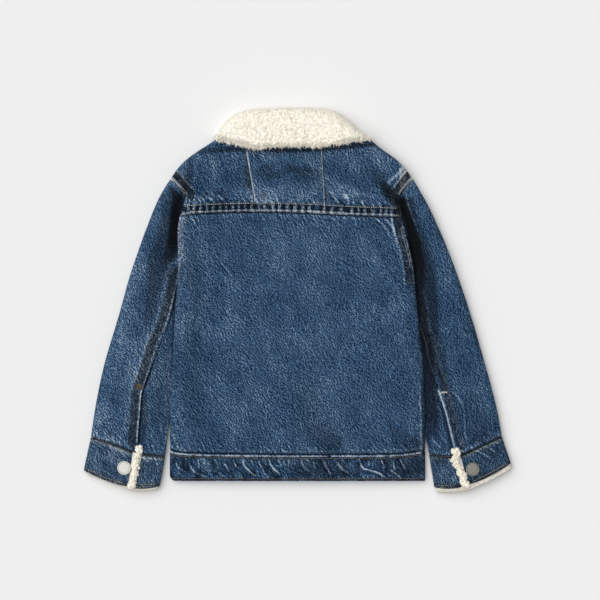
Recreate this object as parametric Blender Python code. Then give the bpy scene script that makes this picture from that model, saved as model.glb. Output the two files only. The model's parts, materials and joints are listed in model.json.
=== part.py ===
"""Child's denim jacket with a sherpa collar and lining, laid flat, face down.

The jacket lies on z = 0 with its collar towards +Y and its back up, so the wearer's
left arm is on the -X side. Sizes and tables are in millimetres; a mesh gets its metres
when it is made. Each cut piece of cloth is one closed wall: denim with its pile lining
behind it. The two layers of the body meet on one level plane, SPLIT_Z.
"""

import math
from collections import namedtuple

import bmesh
import bpy
import numpy as np

MM = 0.001

# Middle of the laid-out jacket in the pattern's own coordinates, which start at the
# middle of the back: every piece is shifted by it, so that the origin is below the middle.
LAYOUT_CENTRE = (0.208, -4.088)

SEAM_GAP = 0.3
LAYER_GAP = 0.4

# Thickness of the laid body
SPLIT_Z = 9.0
BODY_TOP = 17.0
BACK_EDGE_ROUND = 13.0
FRONT_EDGE_ROUND = 9.0
EDGE_WALL = 1.2
FRONT_MIDDLE_X = 0.0

# Yoke and its felled seam, which stands proud in a band
YOKE_UNDER_COLLAR_Z = 16.4
YOKE_TOP_Y = 197.0
YOKE_LOW_Y = 100.0
LEVEL_FROM_Y = 172.0
LEVEL_STEP = 8.0
FELL_WIDTH = 12.0
FELL_RISE = 1.1
FELL_STEP = 1.4

# Hem band
BAND_HEIGHT_Z = 11.5
BAND_HALF_WIDTH = 153.6
BAND_WALL = 5.3
HEM_GAP = 0.9
HEM_FALL_LENGTH = 16.0
HEM_EDGE_Z = 12.6

# Sleeves and cuffs
SLEEVE_WALL_CLEARANCE = 0.6
SLEEVE_FELL_WIDTH = 10.0
SLEEVE_FELL_RISE = 0.9
SLEEVE_INNER_FALL = 0.34
EDGE_POWER = 2.6
FLOOR_SINK = 1.0
CUFF_HEIGHT_Z = 13.0
CUFF_WALL = 2.3
CUFF_LINING_BULGE = 1.7
LINING_BULGE_REACH = 3.0
LINING_FREE_EDGE_SWELL = 1.2
CUFF_SLIT_AT = 0.64

# Collar
FALL_TOP_Z = 27.0
FALL_END_DROP = 5.5
FALL_END_ROUND = 30.0
FALL_END_LOOSENESS = 0.9
FALL_EDGE_Z = 5.0
FALL_ROLL_ROUND = 17.0
FALL_FREE_ROUND = 7.0
FALL_FREE_DROP = 6.0
FALL_LEAST_WALL = 1.5
FALL_YOKE_GAP = 0.4
UNDER_COLLAR_HALF_WIDTH = 60.0
LEAF_THICKNESS = 5.0
LEAF_ROLL_THICKNESS = 8.4
LEAF_RIM_DROP = 2.0
LEAF_CLEARANCE = 0.7
LEAF_REACH = 15.0

# Snap buttons
SNAP_RADIUS = 8.5
SNAP_THICKNESS = 2.2
FRONT_SNAP_THICKNESS = 1.4
PLACKET_HALF_WIDTH = 14.0
CUFF_SNAP_LEFT = (-207.8, -203.8)
CUFF_SNAP_RIGHT = (210.1, -205.4)
TOP_SNAP_Y = 104.0
SNAP_PITCH = 64.0
BAND_SNAP_Y = -205.0

# The body's outline, shoulder slope first: y, then the x of each edge and the height
# of the back at that edge.
BodyRow = namedtuple("BodyRow", "y left left_z right right_z")
SHOULDER = (
    BodyRow(197.0, -91.0, 13.0, 80.0, 13.0),
    BodyRow(191.0, -97.0, 12.0, 86.5, 12.0),
    BodyRow(178.0, -117.0, 11.5, 102.0, 11.5),
    BodyRow(166.0, -134.0, 11.5, 119.5, 11.5),
    BodyRow(154.0, -145.0, 12.0, 130.5, 12.0),
    BodyRow(144.0, -152.0, 12.0, 138.0, 12.0),
)
ARMHOLE_AND_SIDE = (
    BodyRow(144.0, -152.0, 12.0, 138.0, 12.0),
    BodyRow(134.0, -142.5, 12.5, 130.0, 12.0),
    BodyRow(124.0, -134.0, 13.5, 122.5, 12.0),
    BodyRow(110.0, -137.0, 14.0, 123.5, 12.0),
    BodyRow(92.0, -141.5, 14.0, 125.5, 12.0),
    BodyRow(74.0, -143.5, 13.0, 129.5, 12.0),
    BodyRow(54.0, -142.5, 12.0, 135.0, 12.0),
    BodyRow(31.0, -142.5, 11.5, 139.0, 11.5),
    BodyRow(0.0, -145.0, 11.0, 141.5, 11.0),
    BodyRow(-26.0, -146.5, 11.0, 144.5, 11.0),
    BodyRow(-50.0, -148.0, 11.0, 148.0, 11.0),
    BodyRow(-90.0, -150.0, 11.0, 150.5, 11.0),
    BodyRow(-130.0, -151.5, 11.0, 151.8, 11.0),
    BodyRow(-196.0, -153.0, 11.0, 153.0, 11.0),
)

# Lines across the body: x, then the y of the yoke's lower edge and of the hem seam.
CrossRow = namedtuple("CrossRow", "x yoke hem")
CROSS_LINES = (
    CrossRow(-153.0, 99.0, -182.0),
    CrossRow(-137.0, 99.0, -187.0),
    CrossRow(-117.0, 101.0, -188.5),
    CrossRow(-55.0, 103.0, -190.0),
    CrossRow(3.0, 102.0, -190.5),
    CrossRow(63.0, 99.0, -190.5),
    CrossRow(120.0, 97.0, -190.0),
    CrossRow(153.0, 97.0, -186.0),
)
HEM_BOTTOM_Y = -219.8
HEM_HALF_WIDTH = 152.8

# The two seams that part the yoke's panels: y, then the x of each.
YokeSeamRow = namedtuple("YokeSeamRow", "y left right")
YOKE_SEAMS = (
    YokeSeamRow(197.0, -65.0, 28.5),
    YokeSeamRow(180.0, -62.5, 29.5),
    YokeSeamRow(110.0, -51.0, 33.5),
    YokeSeamRow(98.0, -50.0, 34.0),
)

# Soft folds of the back: the two ends, how wide and how high. A trough is negative.
FoldRow = namedtuple("FoldRow", "x0 y0 x1 y1 width rise")
BACK_FOLDS = (
    FoldRow(-124.0, 172.0, -127.0, 108.0, 11.0, 1.2),
    FoldRow(-107.0, 40.0, -110.0, -90.0, 26.0, -0.9),
    FoldRow(98.0, 128.0, 118.0, 96.0, 12.0, -1.8),
    FoldRow(96.0, 84.0, 120.0, 20.0, 18.0, 0.8),
    FoldRow(-50.0, 92.0, -20.0, 84.0, 13.0, -0.8),
    FoldRow(-30.0, -60.0, 60.0, -110.0, 34.0, 0.7),
    FoldRow(-90.0, -150.0, -60.0, -178.0, 20.0, 0.7),
    FoldRow(84.0, -150.0, 110.0, -176.0, 20.0, 0.7),
)

# Sleeve sections from the shoulder to the cuff's seam. outer and inner are the ends of
# a section, height its thickness, seam the place of the felled back seam as a share
# of the width from the outer end, bow how far the section swells towards the cuff.
SleeveRow = namedtuple("SleeveRow", "outer_x outer_y inner_x inner_y height seam bow fell")
LEFT_SLEEVE = (
    SleeveRow(-152.8, 143.2, -135.0, 123.4, 12.0, 0.997, 0.0, 0.0),
    SleeveRow(-162.5, 128.5, -138.2, 110.5, 13.0, 0.997, 0.0, 0.0),
    SleeveRow(-171.5, 110.5, -142.4, 94.5, 14.0, 0.997, 0.0, 0.0),
    SleeveRow(-180.5, 87.5, -144.5, 74.0, 14.5, 0.997, 0.0, 0.0),
    SleeveRow(-189.0, 63.5, -144.3, 53.0, 15.0, 0.997, 0.0, 0.0),
    SleeveRow(-197.5, 39.5, -143.7, 31.0, 15.0, 0.997, 0.0, 0.0),
    SleeveRow(-205.0, 15.5, -145.2, 9.5, 15.0, 0.974, 0.0, 0.4),
    SleeveRow(-213.0, -14.5, -147.2, -21.5, 15.0, 0.927, 0.0, 1.0),
    SleeveRow(-222.0, -44.5, -149.2, -54.0, 15.0, 0.808, 0.0, 1.0),
    SleeveRow(-231.0, -74.5, -151.0, -86.5, 15.0, 0.697, 1.0, 1.0),
    SleeveRow(-238.0, -104.5, -152.4, -119.0, 14.5, 0.604, 2.0, 1.0),
    SleeveRow(-244.0, -137.0, -155.0, -156.0, 14.5, 0.615, 3.0, 1.0),
    SleeveRow(-248.4, -166.8, -159.0, -190.0, 14.0, 0.644, 4.0, 1.0),
)
RIGHT_SLEEVE = (
    SleeveRow(138.9, 143.2, 123.4, 123.3, 12.0, 0.997, 0.0, 0.0),
    SleeveRow(148.5, 127.0, 124.6, 110.0, 13.0, 0.997, 0.0, 0.0),
    SleeveRow(158.0, 110.5, 126.6, 93.5, 14.0, 0.997, 0.0, 0.0),
    SleeveRow(168.5, 87.5, 130.8, 72.5, 14.5, 0.997, 0.0, 0.0),
    SleeveRow(178.5, 63.5, 136.2, 52.5, 15.0, 0.997, 0.0, 0.0),
    SleeveRow(188.0, 39.5, 140.2, 30.0, 15.0, 0.997, 0.0, 0.0),
    SleeveRow(196.5, 15.5, 141.8, 8.5, 15.0, 0.997, 0.0, 0.0),
    SleeveRow(206.5, -14.5, 145.0, -23.5, 15.0, 0.985, 0.0, 0.4),
    SleeveRow(215.5, -44.5, 149.3, -55.0, 15.0, 0.877, 0.0, 1.0),
    SleeveRow(224.0, -74.5, 151.4, -87.5, 15.0, 0.784, 1.0, 1.0),
    SleeveRow(232.5, -104.5, 152.8, -119.0, 14.5, 0.695, 3.0, 1.0),
    SleeveRow(240.5, -137.0, 155.0, -156.0, 14.5, 0.644, 6.0, 1.0),
    SleeveRow(245.6, -165.6, 157.8, -187.4, 14.0, 0.604, 9.0, 1.0),
)
LEFT_SLEEVE_UNDERARM_ROW = 5
RIGHT_SLEEVE_UNDERARM_ROW = 6
SLEEVE_SECTIONS_PER_ROW = 2

# Cuff sections from the sleeve's seam to the free edge. slit_outer and slit_inner are
# the slit's two sides, as shares of the width from the outer end.
CuffRow = namedtuple("CuffRow", "outer_x outer_y inner_x inner_y slit_outer slit_inner bow")
LEFT_CUFF = (
    CuffRow(-248.5, -167.3, -159.1, -190.5, 0.570, 0.712, 4.0),
    CuffRow(-251.7, -182.0, -161.2, -203.8, 0.569, 0.702, 6.0),
    CuffRow(-257.2, -206.8, -165.4, -225.9, 0.567, 0.684, 9.0),
)
RIGHT_CUFF = (
    CuffRow(245.7, -166.1, 157.9, -187.9, 0.580, 0.713, 9.0),
    CuffRow(250.2, -180.5, 160.4, -203.0, 0.574, 0.690, 9.0),
    CuffRow(256.7, -198.6, 164.3, -227.5, 0.568, 0.660, 9.5),
)
LINING_SHOWS_LEFT = 3.0
LINING_SHOWS_RIGHT = 6.5

# Collar fall: x, then the y of the rolled top edge and of the free lower edge.
CollarRow = namedtuple("CollarRow", "x fold edge")
COLLAR = (
    CollarRow(-97.5, 197.0, 190.0),
    CollarRow(-93.0, 206.0, 187.5),
    CollarRow(-80.0, 218.5, 185.0),
    CollarRow(-62.0, 225.0, 180.5),
    CollarRow(-45.0, 227.5, 179.0),
    CollarRow(-15.0, 228.5, 182.0),
    CollarRow(15.0, 228.0, 180.5),
    CollarRow(42.0, 226.5, 183.5),
    CollarRow(62.0, 214.5, 186.5),
    CollarRow(75.0, 202.0, 188.0),
    CollarRow(87.0, 193.5, 187.5),
)

# Front leaf of the collar, on the wearer's left; the other is its mirror image.
LeafRow = namedtuple("LeafRow", "roll_x roll_y edge_x edge_y roll_z")
COLLAR_LEAF = (
    LeafRow(-78.0, 188.0, -85.0, 170.0, 3.0),
    LeafRow(-60.0, 183.0, -74.0, 152.0, 5.0),
    LeafRow(-38.0, 177.0, -58.0, 137.0, 8.4),
    LeafRow(-17.0, 172.0, -44.0, 126.0, 8.4),
    LeafRow(-4.0, 169.0, -36.0, 122.0, 3.0),
)

Finish = namedtuple("Finish", "colour roughness metallic")
DENIM = Finish((0.036, 0.077, 0.147), 0.92, 0.0)
SHERPA = Finish((0.86, 0.82, 0.72), 1.0, 0.0)
SNAP_METAL = Finish((0.62, 0.60, 0.57), 0.38, 1.0)


def clear_scene():
    for item in list(bpy.data.objects):
        bpy.data.objects.remove(item, do_unlink=True)


def material(name, finish):
    made = bpy.data.materials.new(name)
    made.use_nodes = True
    shader = made.node_tree.nodes["Principled BSDF"]
    shader.inputs["Base Color"].default_value = (*finish.colour, 1.0)
    shader.inputs["Roughness"].default_value = finish.roughness
    shader.inputs["Metallic"].default_value = finish.metallic
    made.diffuse_color = (*finish.colour, 1.0)
    return made


def table_value(rows, key, at, want):
    """Reads column `want` of a table at `at` in column `key`, along a smooth curve with no overshoot."""
    pairs = sorted((getattr(row, key), getattr(row, want)) for row in rows)
    xs = np.array([pair[0] for pair in pairs])
    ys = np.array([pair[1] for pair in pairs])
    steps = np.diff(xs)
    slopes = np.diff(ys) / steps
    tangents = np.zeros(len(xs))
    same_sign = slopes[:-1] * slopes[1:] > 0.0
    mean = np.zeros(len(slopes) - 1)
    mean[same_sign] = 2.0 / (1.0 / slopes[:-1][same_sign] + 1.0 / slopes[1:][same_sign])
    tangents[1:-1] = mean
    tangents[0], tangents[-1] = slopes[0], slopes[-1]
    at = np.clip(at, xs[0], xs[-1])
    cell = np.clip(np.searchsorted(xs, at) - 1, 0, len(steps) - 1)
    t = (at - xs[cell]) / steps[cell]
    start = ys[cell] * (1.0 + 2.0 * t) * (1.0 - t) ** 2 + steps[cell] * tangents[cell] * t * (1.0 - t) ** 2
    end = ys[cell + 1] * t * t * (3.0 - 2.0 * t) + steps[cell] * tangents[cell + 1] * t * t * (t - 1.0)
    return float(start + end)


def smoothstep(t):
    t = min(max(t, 0.0), 1.0)
    return t * t * (3.0 - 2.0 * t)


def rounded(distance, radius):
    """Rise of a rounded edge, 0 at the edge and 1 from `radius` inwards."""
    t = 1.0 - min(max(distance / radius, 0.0), 1.0)
    return math.sqrt(1.0 - t * t)


def fold_height(folds, x, y):
    """Sum of soft ridges and troughs, each fading across its width and at its two ends."""
    total = 0.0
    for fold in folds:
        along_x, along_y = fold.x1 - fold.x0, fold.y1 - fold.y0
        length_squared = along_x**2 + along_y**2
        t = ((x - fold.x0) * along_x + (y - fold.y0) * along_y) / length_squared
        inside = min(max(t, 0.0), 1.0)
        gap = math.hypot(x - fold.x0 - inside * along_x, y - fold.y0 - inside * along_y)
        if gap < fold.width:
            total += fold.rise * (1.0 - (gap / fold.width) ** 2) ** 2
    return total


def wall(name, outer, inner, finish):
    """One closed wall of cloth between two grids of points, given in rows, in millimetres."""
    rows, columns = len(outer), len(outer[0])
    work = bmesh.new()
    layers = []
    for grid in (outer, inner):
        shifted = [
            [((x - LAYOUT_CENTRE[0]) * MM, (y - LAYOUT_CENTRE[1]) * MM, z * MM) for x, y, z in row]
            for row in grid
        ]
        layers.append([[work.verts.new(point) for point in row] for row in shifted])
    out, back = layers
    for i in range(rows - 1):
        for j in range(columns - 1):
            work.faces.new((out[i][j], out[i][j + 1], out[i + 1][j + 1], out[i + 1][j]))
            work.faces.new((back[i][j], back[i + 1][j], back[i + 1][j + 1], back[i][j + 1]))
    border = [(0, j) for j in range(columns)]
    border += [(i, columns - 1) for i in range(1, rows)]
    border += [(rows - 1, j) for j in range(columns - 2, -1, -1)]
    border += [(i, 0) for i in range(rows - 2, 0, -1)]
    for (i, j), (k, m) in zip(border, border[1:] + border[:1]):
        work.faces.new((out[i][j], back[i][j], back[k][m], out[k][m]))
    bmesh.ops.recalc_face_normals(work, faces=work.faces)
    return finished_object(name, work, finish)


def finished_object(name, work, finish):
    mesh = bpy.data.meshes.new(name)
    work.to_mesh(mesh)
    work.free()
    mesh.shade_smooth()
    mesh.set_sharp_from_angle(angle=math.radians(50.0))
    made = bpy.data.objects.new(name, mesh)
    bpy.context.scene.collection.objects.link(made)
    mesh.materials.append(material(name, finish))
    return made


# ---------------------------------------------------------------- body


def body_rows(y):
    return SHOULDER if y > ARMHOLE_AND_SIDE[0].y else ARMHOLE_AND_SIDE


def body_edge(y, side):
    """The x of the body's edge and the back's height there; side is "left" or "right"."""
    rows = body_rows(y)
    return table_value(rows, "y", y, side), table_value(rows, "y", y, side + "_z")


def cross_line(x, want):
    return table_value(CROSS_LINES, "x", x, want)


def back_top(x, y):
    """Height of the back's outer face, without the felled bands."""
    left, left_z = body_edge(y, "left")
    right, right_z = body_edge(y, "right")
    near_left, near_right = x - left, right - x
    edge_z = left_z if near_left < near_right else right_z
    height = edge_z + (BODY_TOP - edge_z) * rounded(min(near_left, near_right), BACK_EDGE_ROUND)
    inside = smoothstep(min(near_left, near_right) / BACK_EDGE_ROUND)
    height += fold_height(BACK_FOLDS, x, y) * inside
    above_hem = y - cross_line(x, "hem")
    hem_share = rounded(above_hem, HEM_FALL_LENGTH)
    return min(height, HEM_EDGE_Z + (height - HEM_EDGE_Z) * hem_share)


def fell_rise(distance, width, rise):
    """Extra height of a felled band of cloth that ends `distance` 0 and fades past its width."""
    if distance < 0.0:
        return 0.0
    return rise * (1.0 - smoothstep((distance - width + FELL_STEP) / FELL_STEP))


def body_patch(name, left, right, top, bottom, height, floor, shares):
    """A wall of the body over a patch whose four edges are functions.

    left and right give x at y; top and bottom give y at a share u of the width;
    height and floor give the upper and lower face's z at a point.
    shares are the rows' and columns' places from 0 to 1.
    """
    row_shares, column_shares = shares
    outer, inner = [], []
    for v in row_shares:
        outer_row, inner_row = [], []
        for u in column_shares:
            y = top(u) + (bottom(u) - top(u)) * v
            x = left(y) + (right(y) - left(y)) * u
            outer_row.append((x, y, height(x, y)))
            inner_row.append((x, y, floor(x, y)))
        outer.append(outer_row)
        inner.append(inner_row)
    return wall(name, outer, inner, DENIM)


def even(count):
    return [i / count for i in range(count + 1)]


def edged(count, edge_shares):
    """Even shares, with closer ones near both ends for the rounded edges."""
    middle = [edge_shares[-1] + (1.0 - 2.0 * edge_shares[-1]) * i / count for i in range(count + 1)]
    return list(edge_shares[:-1]) + middle + [1.0 - share for share in reversed(edge_shares[:-1])]


def split_floor(x, y):
    return SPLIT_Z + LAYER_GAP / 2.0


def yoke_height(x, y):
    """The yoke is level below the collar, and its lower edge is a raised felled band."""
    band = fell_rise(y - cross_line(x, "yoke"), FELL_WIDTH, FELL_RISE)
    level = smoothstep((y - LEVEL_FROM_Y) / LEVEL_STEP)
    back = back_top(x, y)
    return (back + band) * (1.0 - level) + min(back, YOKE_UNDER_COLLAR_Z) * level


# Rows of the yoke above its felled band, as shares of its length, and columns of its side
# panels, closer where the shoulder rounds down.
YOKE_ROWS = (0.0, 0.062, 0.12, 0.19, 0.255, 0.32, 0.39, 0.45, 0.5, 0.546, 0.6, 0.65, 0.7, 0.75, 0.81)
YOKE_SIDE_COLUMNS = (0.0, 0.03, 0.08, 0.16, 0.28, 0.42, 0.58, 0.74, 0.88, 1.0)


def yoke_panel(name, left, right, columns):
    """One of the yoke's three panels, from the neck down to the felled seam."""
    band_rows = (0.0, FELL_STEP, FELL_WIDTH - FELL_STEP, FELL_WIDTH)

    def y_bottom(u):
        x = left(YOKE_LOW_Y) + (right(YOKE_LOW_Y) - left(YOKE_LOW_Y)) * u
        return cross_line(x, "yoke") + SEAM_GAP / 2.0

    length = YOKE_TOP_Y - YOKE_LOW_Y
    rows = list(YOKE_ROWS) + [1.0 - row / length for row in reversed(band_rows)]
    shares = (rows, columns)
    body_patch(name, left, right, lambda u: YOKE_TOP_Y, y_bottom, yoke_height, split_floor, shares)


def make_yoke():
    def seam(side, offset):
        return lambda y: table_value(YOKE_SEAMS, "y", y, side) + offset

    half_gap = SEAM_GAP / 2.0
    columns = list(YOKE_SIDE_COLUMNS)
    yoke_panel("yoke_left", lambda y: body_edge(y, "left")[0], seam("left", -half_gap), columns)
    yoke_panel("yoke_center", seam("left", half_gap), seam("right", -half_gap), even(7))
    mirrored = [1.0 - share for share in reversed(columns)]
    yoke_panel("yoke_right", seam("right", half_gap), lambda y: body_edge(y, "right")[0], mirrored)


def make_back_panel():
    def yoke_x(u):
        return body_edge(YOKE_LOW_Y, "left")[0] * (1.0 - u) + body_edge(YOKE_LOW_Y, "right")[0] * u

    def hem_x(u):
        return HEM_HALF_WIDTH * (2.0 * u - 1.0)

    rows = edged(15, (0.0, 0.012, 0.03, 0.055))
    columns = edged(19, (0.0, 0.007, 0.02, 0.044))
    body_patch(
        "back_panel",
        lambda y: body_edge(y, "left")[0],
        lambda y: body_edge(y, "right")[0],
        lambda u: cross_line(yoke_x(u), "yoke") - SEAM_GAP / 2.0,
        lambda u: cross_line(hem_x(u), "hem") + HEM_GAP / 2.0,
        back_top,
        split_floor,
        (rows, columns),
    )


def leaf_edge_y(x):
    """Lower outline of the collar's leaves at a distance x from the middle."""
    reach = abs(x)
    inner, outer = COLLAR_LEAF[-1], COLLAR_LEAF[0]
    point = max(-COLLAR_LEAF[-2].edge_x, -inner.edge_x)
    if reach < point:
        return inner.edge_y + (inner.roll_y - inner.edge_y) * (point - reach) / point
    return inner.edge_y + (outer.edge_y - inner.edge_y) * (reach - point) / (-outer.edge_x - point)


def front_floor(x, y):
    """The fronts lie on the floor, round up at the sides and lie over the collar's leaves."""
    left, right = body_edge(y, "left")[0], body_edge(y, "right")[0]
    edge = rounded(min(x - left, right - x), FRONT_EDGE_ROUND)
    side = (SPLIT_Z - LAYER_GAP / 2.0 - EDGE_WALL) * (1.0 - edge)
    past_leaf = (leaf_edge_y(x) - LEAF_REACH - y) / LEAF_REACH
    over_leaf = (LEAF_THICKNESS + LEAF_CLEARANCE) * (1.0 - smoothstep(past_leaf))
    return max(side, over_leaf)


def split_ceiling(x, y):
    return SPLIT_Z - LAYER_GAP / 2.0


# Front panels: the neckline's low point and its rise to the shoulder, the y of the rows
# down the side and the columns from the side to the placket.
NECK_LOW_Y = 150.0
NECK_RISE = 40.0
NECK_CURVE = 0.8
FRONT_ROWS_Y = (190.0, 183.0, 174.0, 160.0, 144.0, 134.0, 124.0, 110.0, 92.0, 66.0, 36.0, 6.0, -30.0)
FRONT_ROWS_Y += (-66.0, -100.0, -130.0, -152.0, -168.0, -176.0, -182.0)
FRONT_COLUMNS = (0.0, 0.008, 0.024, 0.055, 0.1, 0.18, 0.28, 0.4, 0.52, 0.64, 0.76, 0.88, 1.0)


def make_fronts():
    """Two plain front panels with the placket strip between them, neckline to hem."""

    def neckline(share):
        return NECK_LOW_Y + NECK_RISE * smoothstep(share) ** NECK_CURVE

    def hem(x):
        return cross_line(x, "hem") + HEM_GAP / 2.0

    side_length = FRONT_ROWS_Y[0] - FRONT_ROWS_Y[-1]
    rows = [(FRONT_ROWS_Y[0] - y) / side_length for y in FRONT_ROWS_Y]
    reach = HEM_HALF_WIDTH
    inner_x = PLACKET_HALF_WIDTH + SEAM_GAP
    body_patch(
        "front_left",
        lambda y: body_edge(y, "left")[0],
        lambda y: FRONT_MIDDLE_X - inner_x,
        lambda u: neckline(1.0 - u),
        lambda u: hem(-reach + (reach - inner_x) * u),
        split_ceiling,
        front_floor,
        (rows, FRONT_COLUMNS),
    )
    body_patch(
        "front_right",
        lambda y: FRONT_MIDDLE_X + inner_x,
        lambda y: body_edge(y, "right")[0],
        neckline,
        lambda u: hem(inner_x + (reach - inner_x) * u),
        split_ceiling,
        front_floor,
        (rows, [1.0 - share for share in reversed(FRONT_COLUMNS)]),
    )
    return body_patch(
        "placket",
        lambda y: FRONT_MIDDLE_X - PLACKET_HALF_WIDTH,
        lambda y: FRONT_MIDDLE_X + PLACKET_HALF_WIDTH,
        lambda u: NECK_LOW_Y,
        lambda u: hem(FRONT_MIDDLE_X),
        split_ceiling,
        front_floor,
        (edged(10, (0.0, 0.03, 0.06, 0.1)), even(2)),
    )


# ---------------------------------------------------------------- flattened tubes


class Section:
    """One flattened ring of a sleeve, cuff or band, between its outer and inner end.

    q runs once round it: 0 at the inner end, 1 over the top, 2 at the outer end and
    back below it to 4.
    """

    def __init__(self, outer, inner, height, bow=0.0, inner_fall=0.0):
        self.outer = np.array(outer)
        self.inner = np.array(inner)
        self.half = float(np.linalg.norm(self.inner - self.outer)) / 2.0
        self.across = (self.inner - self.outer) / (2.0 * self.half)
        down = np.array((self.across[1], -self.across[0]))
        self.down = down if down[1] < 0.0 else -down
        self.height = height
        self.bow = bow
        self.inner_fall = inner_fall
        steps = np.linspace(0.0, 4.0, 801)
        profile = np.array([self.profile(q, 0.0) for q in steps])
        self.steps = steps
        self.lengths = np.concatenate([[0.0], np.cumsum(np.linalg.norm(np.diff(profile, axis=0), axis=1))])

    def profile(self, q, depth):
        """Place across the section and height of a point, `depth` in from its outer face."""
        half, rise = self.half - depth, self.height / 2.0 - depth
        across = math.cos(math.pi * q / 2.0)
        bulge = max(0.0, 1.0 - abs(across) ** EDGE_POWER) ** (1.0 / EDGE_POWER)
        if q % 4.0 < 2.0:
            share = smoothstep((across + 0.1) / 1.1)
            top = rise * bulge * (1.0 - self.inner_fall * share)
            return half * across, self.height / 2.0 + top
        return half * across, max(depth, self.height / 2.0 - (rise + FLOOR_SINK) * bulge)

    def point(self, q, depth, rise=0.0):
        across, z = self.profile(q, depth)
        share = 0.5 + across / (2.0 * self.half)
        reach = CUFF_SLIT_AT if share < CUFF_SLIT_AT else 1.0 - CUFF_SLIT_AT
        swell = self.bow * (1.0 - ((share - CUFF_SLIT_AT) / reach) ** 2)
        x, y = (self.outer + self.inner) / 2.0 + self.across * across + self.down * swell
        return x, y, z + rise

    def q_at_share(self, share):
        """q on the top face at a share of the width from the outer end."""
        return 2.0 * math.acos(min(max(2.0 * share - 1.0, -1.0), 1.0)) / math.pi

    def q_past(self, q, distance):
        """q after going `distance` along the outer face, towards the outer end where positive."""
        total = self.lengths[-1]
        place = np.interp(q % 4.0, self.steps, self.lengths) + distance
        turns = math.floor(place / total)
        return 4.0 * turns + float(np.interp(place - turns * total, self.lengths, self.steps))


def arc(start, end, count):
    return [start + (end - start) * i / count for i in range(count + 1)]


def tube_wall(name, sections, q_lists, depths, finish, rises=None):
    """A wall round part of a row of sections, between two depths from their outer face."""
    outer, inner = [], []
    for index, (section, q_list) in enumerate(zip(sections, q_lists)):
        lift = rises[index] if rises else [0.0] * len(q_list)
        outer.append([section.point(q, depths[index][0], rise) for q, rise in zip(q_list, lift)])
        inner.append([section.point(q, depths[index][1]) for q in q_list])
    return wall(name, outer, inner, finish)


def sleeve_sections(rows):
    """Sections at the table's rows and between them, and the felled seam's share and rise at each."""
    indexed = [dict(row._asdict(), place=float(i)) for i, row in enumerate(rows)]
    holder = namedtuple("Indexed", list(indexed[0]))
    table = [holder(**entry) for entry in indexed]
    count = (len(rows) - 1) * SLEEVE_SECTIONS_PER_ROW
    sections, seams, fells = [], [], []
    for step in range(count + 1):
        place = step / SLEEVE_SECTIONS_PER_ROW
        value = {key: table_value(table, "place", place, key) for key in rows[0]._fields}
        sections.append(
            Section(
                (value["outer_x"], value["outer_y"]),
                (value["inner_x"], value["inner_y"]),
                value["height"],
                bow=value["bow"],
                inner_fall=SLEEVE_INNER_FALL,
            )
        )
        seams.append(min(value["seam"], 0.997))
        fells.append(value["fell"])
    return sections, seams, fells


def make_sleeve(side, rows, underarm_row):
    """Upper and under sleeve, parted by the felled back seam and by the front seam below it."""
    sections, seams, fells = sleeve_sections(rows)
    depths = [(0.0, section.height / 2.0 - SLEEVE_WALL_CLEARANCE) for section in sections]
    upper_q, upper_rise, under_q = [], [], []
    for section, seam, fell in zip(sections, seams, fells):
        back_seam = section.q_at_share(seam)
        front_seam = 4.0 - back_seam
        start = section.q_past(back_seam, SEAM_GAP / 2.0)
        stop = section.q_past(front_seam, -SEAM_GAP / 2.0)
        band = section.q_past(start, SLEEVE_FELL_WIDTH - FELL_STEP)
        past_band = section.q_past(start, SLEEVE_FELL_WIDTH)
        upper_q.append([start, band] + arc(past_band, 2.0, 7) + arc(2.0, stop, 6)[1:])
        rise = SLEEVE_FELL_RISE * fell
        upper_rise.append([rise, rise] + [0.0] * (len(upper_q[-1]) - 2))
        under_start = section.q_past(back_seam, -SEAM_GAP / 2.0)
        under_stop = section.q_past(front_seam, SEAM_GAP / 2.0) - 4.0
        under_q.append(arc(under_start, 0.0, 5) + arc(0.0, under_stop, 4)[1:])
    tube_wall("upper_sleeve_" + side, sections, upper_q, depths, DENIM, upper_rise)
    first = underarm_row * SLEEVE_SECTIONS_PER_ROW
    tube_wall("under_sleeve_" + side, sections[first:], under_q[first:], depths[first:], DENIM)


def cuff_sections(rows):
    return [
        Section((row.outer_x, row.outer_y), (row.inner_x, row.inner_y), CUFF_HEIGHT_Z, bow=row.bow)
        for row in rows
    ]


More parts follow.
